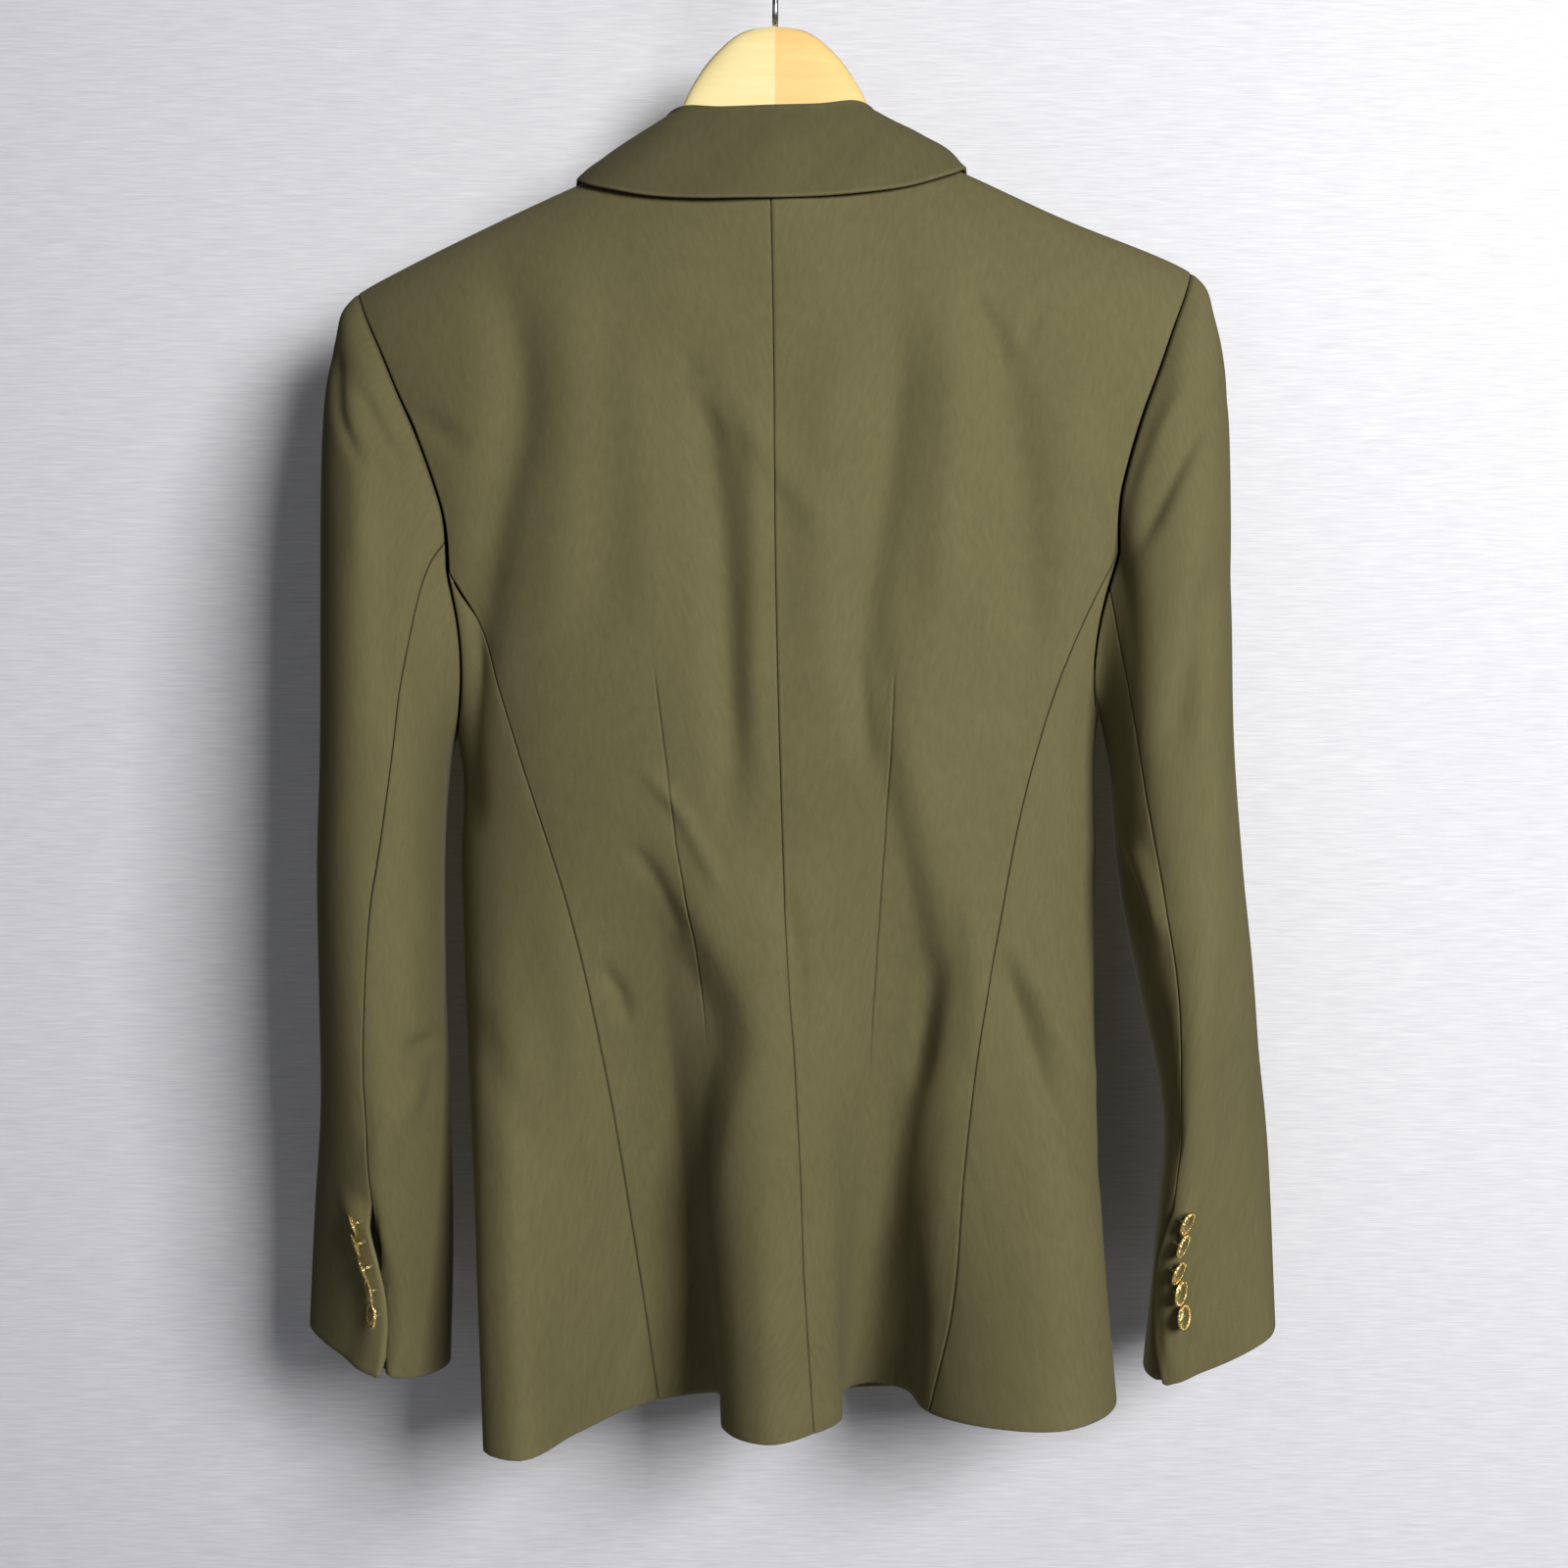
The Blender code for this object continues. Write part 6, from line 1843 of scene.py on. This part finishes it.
def edit(mode: bool = True) -> None:
    """Go into edit mode, or out of it."""
    bpy.ops.object.mode_set(mode="EDIT" if mode else "OBJECT")


def settle() -> None:
    """Leave edit mode and bring the selected pieces' points to the origin's frame."""
    edit(False)
    bpy.ops.object.transform_apply(location=True, rotation=True, scale=True)


def copied(node: bpy.types.Object, name: str) -> bpy.types.Object:
    """A merged copy of a CAD node, to be finished further.

    Args:
        node: The node's object.
        name: Name of the copy.

    Returns:
        The copy, its own mesh in one piece.
    """
    piece = linked(name, node.data.copy())
    select_only(piece)
    edit()
    bpy.ops.mesh.select_all(action="SELECT")
    bpy.ops.mesh.remove_doubles(threshold=0.00002)
    bpy.ops.mesh.dissolve_limited(angle_limit=math.radians(0.6))
    bpy.ops.mesh.tris_convert_to_quads(face_threshold=math.radians(60),
                                       shape_threshold=math.radians(60))
    edit(False)
    piece.data.materials.clear()
    return piece


def smoothed(piece: bpy.types.Object, levels: int, sharp: float = 60.0) -> None:
    """Round a piece by subdivision, and keep its sharp edges.

    Args:
        piece: The piece.
        levels: How many times it is subdivided.
        sharp: Edges that turn more than this, in degrees, are kept.
    """
    mesh = piece.data
    crease = mesh.attributes.new("crease_edge", "FLOAT", "EDGE")
    faces: dict[tuple[int, int], list[Vector]] = {}
    for face in mesh.polygons:
        for key in face.edge_keys:
            faces.setdefault(key, []).append(face.normal)
    for edge in mesh.edges:
        beside = faces.get(tuple(sorted(edge.vertices)), [])
        if len(beside) == 2 and beside[0].angle(beside[1], 0.0) > math.radians(sharp):
            crease.data[edge.index].value = 1.0
    select_only(piece)
    rounding = piece.modifiers.new("rounding", "SUBSURF")
    rounding.levels = rounding.render_levels = levels
    bpy.ops.object.modifier_apply(modifier=rounding.name)
    bpy.ops.object.shade_smooth_by_angle(angle=math.radians(50))


def dressed(piece: bpy.types.Object, node: str) -> bpy.types.Object:
    """Tie a finished piece to the frame and to the solid it stands for.

    Args:
        piece: The finished piece.
        node: The solid's CAD node.

    Returns:
        The piece.
    """
    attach(piece, "root")
    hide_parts(node)
    return piece


@dataclass
class Hanger:
    """The wooden hanger and its steel hook."""

    nodes: dict[str, bpy.types.Object]
    # Painted light and shade: both halves are one wood, the left made paler and the right deeper,
    # for the light that falls differently on them.
    pale: Wood = Wood("wood_pale", (0.93, 0.80, 0.43, 1.0), (0.86, 0.68, 0.31, 1.0))
    deep: Wood = Wood("wood_deep", (0.90, 0.64, 0.27, 1.0), (0.82, 0.53, 0.19, 1.0))
    steel: Metal = Metal("hook_steel", (0.66, 0.66, 0.67, 1.0), (0.42, 0.42, 0.44, 1.0),
                         roughness=0.24, streaks=(1.0, 1.0, 0.06))
    joint_gap: float = 0.0002       # from the middle to each half's flat end

    def open_joint(self, piece: bpy.types.Object, side: Side) -> None:
        """Draw a wooden half's flat end up to the middle, without its hidden face.

        The end then stays square when the half is rounded.

        Args:
            piece: The wooden half.
            side: The wearer's side.
        """
        select_only(piece)
        edit()
        bpy.ops.mesh.select_all(action="DESELECT")
        edit(False)
        for vert in piece.data.vertices:
            vert.select = abs(vert.co.x) < 2 * self.joint_gap
        edit()
        bpy.ops.mesh.select_mode(type="VERT")
        bpy.ops.transform.translate(value=(-side.sign * 0.95 * self.joint_gap, 0, 0))
        bpy.ops.mesh.delete(type="ONLY_FACE")
        edit(False)

    def build(self, effects: Effects) -> list[bpy.types.Object]:
        """Make both wooden halves and the hook.

        Args:
            effects: The shared effects.

        Returns:
            The pieces.
        """
        made = []
        # The left half takes the painted lit tone, the right the painted shaded tone.
        for side, wood in ((Side.LEFT, self.pale), (Side.RIGHT, self.deep)):
            node = f"hanger_wood_{side.value}"
            piece = copied(self.nodes[node], f"hanger_half_{side.value}")
            self.open_joint(piece, side)
            smoothed(piece, 2)
            piece.data.materials.append(wood.made(effects))
            made.append(dressed(piece, node))
        hook = copied(self.nodes["hook"], "hanger_hook")
        smoothed(hook, 1)
        hook.data.materials.append(self.steel.made(effects))
        made.append(dressed(hook, "hook"))
        return made


@dataclass
class Button:
    """A cast shank button: a beaded rim round a stippled dome, in shares of its radius."""

    radius: float
    beads: int = 30
    gold: Metal = Metal("button_gold", (1.0, 0.83, 0.40, 1.0), (0.76, 0.55, 0.20, 1.0),
                        roughness=0.34, stipple=800.0)
    thread: Yarn = Yarn("button_thread", (0.05, 0.045, 0.02, 1.0), (0.16, 0.145, 0.07, 1.0),
                        roughness=0.75, ribs=2600.0, slub=0.8, depth=0.0001, strength=0.8)
    hub: float = 0.30               # radius of the head's middle, underneath
    profile: Rows = (               # how far the head's outline rises, and its radius there
        (0.06, 0.88), (0.05, 0.97), (0.05, 1.0), (0.05, 0.99), (0.05, 0.95), (0.015, 0.84),
        (-0.035, 0.79), (0.03, 0.74), (0.07, 0.62), (0.055, 0.46), (0.035, 0.28), (0.014, 0.10))

    def grow(self, rise: float, scale: float) -> None:
        """Extrude the selected face upward and scale its new end.

        Args:
            rise: Height to extrude by, as a share of the radius.
            scale: The new end's size against the old one.
        """
        bpy.ops.mesh.extrude_region_move(
            TRANSFORM_OT_translate={"value": (0, 0, rise * self.radius)})
        bpy.ops.transform.resize(value=(scale, scale, 1.0))

    def head(self) -> bpy.types.Object:
        """The button's head: underside, rim, the dip inside it and the dome.

        Returns:
            The head, before the parts are joined.
        """
        select_only()
        bpy.ops.mesh.primitive_circle_add(
            vertices=40, radius=self.hub * self.radius, fill_type="NGON",
            location=(0, 0, 0.60 * self.radius))
        piece = bpy.context.object
        edit()
        bpy.ops.mesh.select_all(action="SELECT")
        reach = self.hub
        for rise, radius in self.profile:
            self.grow(rise, radius / reach)
            reach = radius
        bpy.ops.mesh.select_all(action="SELECT")
        bpy.ops.mesh.normals_make_consistent(inside=False)
        settle()
        return piece

    def bead_ring(self) -> list[bpy.types.Object]:
        """Beads round the rim: one is modelled, and the others are turned copies.

        Returns:
            The beads.
        """
        select_only()
        bpy.ops.mesh.primitive_ico_sphere_add(
            subdivisions=2, radius=0.088 * self.radius,
            location=(0.905 * self.radius, 0, 0.872 * self.radius))
        first = bpy.context.object
        edit()
        bpy.ops.transform.resize(value=(0.8, 1.0, 0.8))
        settle()
        made = [first]
        for k in range(1, self.beads):
            made.append(linked(f"bead_{k}", first.data.copy()))
            made[-1].data.transform(Matrix.Rotation(math.tau * k / self.beads, 4, "Z"))
        return made

    def shank(self) -> list[bpy.types.Object]:
        """The wire loop under the head and the thread wound through it.

        Returns:
            The loop and the thread.
        """
        select_only()
        bpy.ops.mesh.primitive_torus_add(
            major_radius=0.20 * self.radius, minor_radius=0.050 * self.radius,
            major_segments=24, minor_segments=8, rotation=(math.pi / 2, 0, 0),
            location=(0, 0, 0.43 * self.radius))
        loop = bpy.context.object
        settle()
        select_only()
        bpy.ops.mesh.primitive_cylinder_add(
            vertices=14, radius=0.15 * self.radius, depth=0.34 * self.radius,
            location=(0, 0, 0.17 * self.radius))
        stem = bpy.context.object
        edit()
        bpy.ops.mesh.bevel(offset=0.04 * self.radius, segments=2, affect="EDGES")
        bpy.ops.mesh.select_all(action="SELECT")
        bpy.ops.mesh.subdivide(number_cuts=2)
        bpy.ops.transform.vertex_random(offset=0.012 * self.radius, seed=3)
        settle()
        return [loop, stem]

    def model(self, gold: bpy.types.Material, thread: bpy.types.Material) -> bpy.types.Object:
        """Model one button about its own axis, its foot at the origin.

        Args:
            gold: The metal.
            thread: The thread's material.

        Returns:
            The button, to be copied.
        """
        head, beads = self.head(), self.bead_ring()
        loop, stem = self.shank()
        for piece in (head, *beads, loop):
            piece.data.materials.clear()
            piece.data.materials.append(gold)
        stem.data.materials.append(thread)
        select_only(head)
        for piece in (*beads, loop, stem):
            piece.select_set(True)
        bpy.ops.object.join()
        bpy.ops.object.shade_smooth_by_angle(angle=math.radians(40))
        return head


@dataclass
class Buttons:
    """The cuff buttons and the front buttons, where the solids have them."""

    nodes: dict[str, bpy.types.Object]
    droops: tuple[float, ...] = (40.0, 39.0, 40.0, 26.0, 10.0)      # degrees, from the top
    cuff: Button = field(default_factory=lambda: Button(0.0066))
    front: Button = field(default_factory=lambda: Button(0.0110, 36))

    def standing(self, node: bpy.types.Object) -> Matrix:
        """Where a button's solid stands: its foot's place and the way it faces.

        Args:
            node: The button's CAD node.

        Returns:
            The matrix that takes a button from the origin there.
        """
        places = np.unique(np.round([tuple(v.co) for v in node.data.vertices], 6), axis=0)
        middle = (places.max(0) + places.min(0)) / 2
        for _ in range(3):
            values, ways = np.linalg.eigh(np.cov((places - middle).T))
            gaps = abs(values[0] - values[1]), abs(values[2] - values[1])
            axis = ways[:, 0 if gaps[0] > gaps[1] else 2]
            rise = (places - middle) @ axis
            across = places - middle - rise[:, None] * axis
            level = ways[:, 1]
            other = np.cross(axis, level)
            middle = middle + sum(way * ((across @ way).max() + (across @ way).min()) / 2
                                  for way in (level, other))
        reach = np.linalg.norm(across, axis=1)
        rim = rise[reach > 0.97 * reach.max()].mean()
        if rim < (rise.max() + rise.min()) / 2:
            axis, rise = -axis, -rise
        foot = middle + axis * rise.min()
        level = unit(np.cross((0.0, 0.0, 1.0), axis))
        basis = np.stack([level, np.cross(axis, level), axis], 1)
        return Matrix.Translation(foot) @ Matrix(basis.tolist()).to_4x4()

    def drooping(self, node: str) -> Matrix:
        """How a cuff button hangs down about the top of its thread.

        Args:
            node: The button's CAD node.

        Returns:
            The turn, from the button at the origin.
        """
        if not node.startswith("cuff"):
            return Matrix.Identity(4)
        place = int(node.rsplit("_", 1)[1]) - 1
        lever = Matrix.Translation((0.0, 0.0, 0.34 * self.cuff.radius))
        return lever @ Matrix.Rotation(math.radians(self.droops[place]), 4, "X") @ lever.inverted()

    def build(self, effects: Effects) -> list[bpy.types.Object]:
        """Model a button of each size and copy it to each place.

        Args:
            effects: The shared effects.

        Returns:
            The pieces.
        """
        gold, thread = self.cuff.gold.made(effects), self.cuff.thread.made(effects)
        made = []
        for kind, button in (("cuff", self.cuff), ("front", self.front)):
            model = button.model(gold, thread)
            for node in sorted(name for name in self.nodes if name.startswith(kind + "_button")):
                piece = linked("dressed_" + node, model.data.copy())
                piece.data.transform(self.standing(self.nodes[node]) @ self.drooping(node))
                piece.data.update()
                made.append(dressed(piece, node))
            bpy.data.objects.remove(model)
        return made


# ---- the room
@dataclass(frozen=True)
class Lamp:
    """A soft square light."""

    name: str
    place: tuple[float, float, float]
    target: tuple[float, float, float]
    size: float                     # its width, in metres
    energy: float                   # its power, in watts
    colour: tuple[float, float, float] = (1.0, 1.0, 1.0)

    def add(self) -> None:
        """Put the light in the scene, turned to its target."""
        data = bpy.data.lights.new(self.name, "AREA")
        data.shape, data.size, data.energy, data.color = (
            "SQUARE", self.size, self.energy, self.colour)
        lamp = linked(self.name, data)
        lamp.location = self.place
        way = Vector(self.target) - Vector(self.place)
        lamp.rotation_euler = way.to_track_quat("-Z", "Y").to_euler()


@dataclass
class Room:
    """A pale floor, a pale wall close behind, and soft light from the upper right."""

    lens: Lens
    wall_place: float = 0.076
    floor_height: float = -2.0
    ambient: float = 0.04
    lamps: tuple[Lamp, ...] = (
        Lamp("key", (1.06, -1.72, 0.06), (0.0, 0.0, -0.45), 0.85, 57.0, (1.0, 0.99, 0.96)),
        Lamp("fill", (-0.9, -1.6, -0.2), (0.0, 0.0, -0.5), 1.2, 2.6, (0.96, 0.98, 1.0)),
        Lamp("front_fill", (-0.4, 1.9, 0.3), (0.0, 0.0, -0.45), 1.2, 16.0))

    def wall_material(self) -> bpy.types.Material:
        """Finely brushed pale paper, seen only from the front.

        Returns:
            The material.
        """
        finish = Finish("wall_paper", 0.9)
        desk, place = finish.desk, finish.read("Object")
        lines = desk.noise(desk.stretched(place, (26.0, 1.0, 900.0)), 1.6, 4.0, 0.65)
        cloud = desk.noise(place, 3.0, 2.0)
        tone = desk.maths("ADD", desk.maths("MULTIPLY", desk.ranged(lines, 0.36, 0.64), 0.7),
                          desk.maths("MULTIPLY", cloud, 0.3))
        finish.give(Base_Color=desk.blend(tone, (0.595, 0.597, 0.645, 1), (0.765, 0.767, 0.81, 1)))
        front = desk.maths("SUBTRACT", 1.0, desk.node("NewGeometry").outputs["Backfacing"])
        shown = desk.maths("MULTIPLY", front, desk.node("LightPath").outputs["Is Camera Ray"])
        clear = desk.node("BsdfTransparent").outputs[0]
        mixed = desk.made("MixShader", 0, {0: shown, 1: clear, 2: finish.shader.outputs[0]})
        desk.feed(finish.material.node_tree.nodes["Material Output"].inputs["Surface"], mixed)
        return finish.material

    def floor_material(self) -> bpy.types.Material:
        """Matt pale floor.

        Returns:
            The material.
        """
        finish = Finish("floor_pale", 0.8)
        cloud = finish.desk.noise(finish.read("Object"), 2.0, 2.0)
        finish.give(Base_Color=finish.desk.blend(
            cloud, (0.50, 0.50, 0.51, 1), (0.58, 0.58, 0.59, 1)))
        return finish.material

    def slab(self, name: str, corners: Sequence[tuple[float, float, float]],
             material: bpy.types.Material) -> None:
        """Add a flat part of the room.

        Args:
            name: Its name.
            corners: Its four corners in turn.
            material: Its material.
        """
        mesh = bpy.data.meshes.new(name)
        mesh.from_pydata(corners, [], [(0, 1, 2, 3)])
        mesh.materials.append(material)
        linked(name, mesh)

    def build(self) -> None:
        """Make the floor, the wall, the lights and the camera."""
        y, z = self.wall_place, self.floor_height
        self.slab("wall", ((-2.2, y, z), (2.2, y, z), (2.2, y, 1.4), (-2.2, y, 1.4)),
                  self.wall_material())
        self.slab("floor", ((-4, -4, z), (4, -4, z), (4, 4, z), (-4, 4, z)),
                  self.floor_material())
        for lamp in self.lamps:
            lamp.add()
        world = bpy.data.worlds.new("studio")
        world.use_nodes = True
        back = world.node_tree.nodes["Background"]
        back.inputs["Color"].default_value = (0.93, 0.95, 1.0, 1.0)
        back.inputs["Strength"].default_value = self.ambient
        scene = bpy.context.scene
        scene.world = world
        scene.view_settings.view_transform = "Standard"
        scene.view_settings.look = "None"
        self.lens.add()


# ---- the whole blazer
@dataclass(frozen=True)
class Cut:
    """A piece of cloth laid flat, without its turnings: metres and square metres."""

    width: float
    length: float
    area: float


def report(piece: bpy.types.Object) -> None:
    """Log a finished piece."""
    log.info("%s: %d faces", piece.name, len(piece.data.polygons))


def hang_cloth(cloth: Cloth, materials: Sequence[bpy.types.Material]) -> bpy.types.Object:
    """Make a sheet's piece, tie it to the frame and log it.

    Args:
        cloth: The sheet.
        materials: Its cloth and its lining.

    Returns:
        The piece.
    """
    node = cloth.name.removeprefix("cloth_")
    piece = dressed(cloth.shell(materials), node)
    report(piece)
    return piece


def main() -> None:
    """Build every part of the blazer and its room in order."""
    logging.basicConfig(level=logging.INFO, format="%(message)s", stream=sys.stdout)
    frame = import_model()
    lens, hanging, body = Lens(), Hanging(), Body()
    effects = Effects(weave_effect(), mottle_effect())
    twill = Twill().made(effects)
    lining = Yarn("lining_satin", (0.060, 0.054, 0.028, 1.0), (0.098, 0.088, 0.048, 1.0),
                  roughness=0.38, ribs=2400.0, slub=0.30, depth=0.00003, strength=0.5,
                  source="UV").made(effects)
    # Painted shade: the collar's cloth is the body's olive twill made darker, for the shade on the
    # collar's fall.
    shaded_collar_twill = Twill("olive_twill_collar", (0.064, 0.056, 0.024, 1.0),
                         (0.128, 0.113, 0.053, 1.0)).made(effects)

    for piece in Hanger(frame["nodes"]).build(effects):
        report(piece)
    for cloth in Torso(body, hanging, lens).cloths():
        hang_cloth(cloth, (twill, lining))
    lapels = Lapels(body, hanging)
    for side in Side:
        hang_cloth(lapels.cloth(side), (twill,))
    hang_cloth(Collar(body, hanging).cloth(), (shaded_collar_twill,))
    for cloth in Sleeves(body, hanging, lens).cloths():
        hang_cloth(cloth, (twill, lining))
    for piece in Buttons(frame["nodes"]).build(effects):
        report(piece)
    Room(lens).build()

    bpy.context.view_layer.update()


if __name__ == "__main__":
    main()
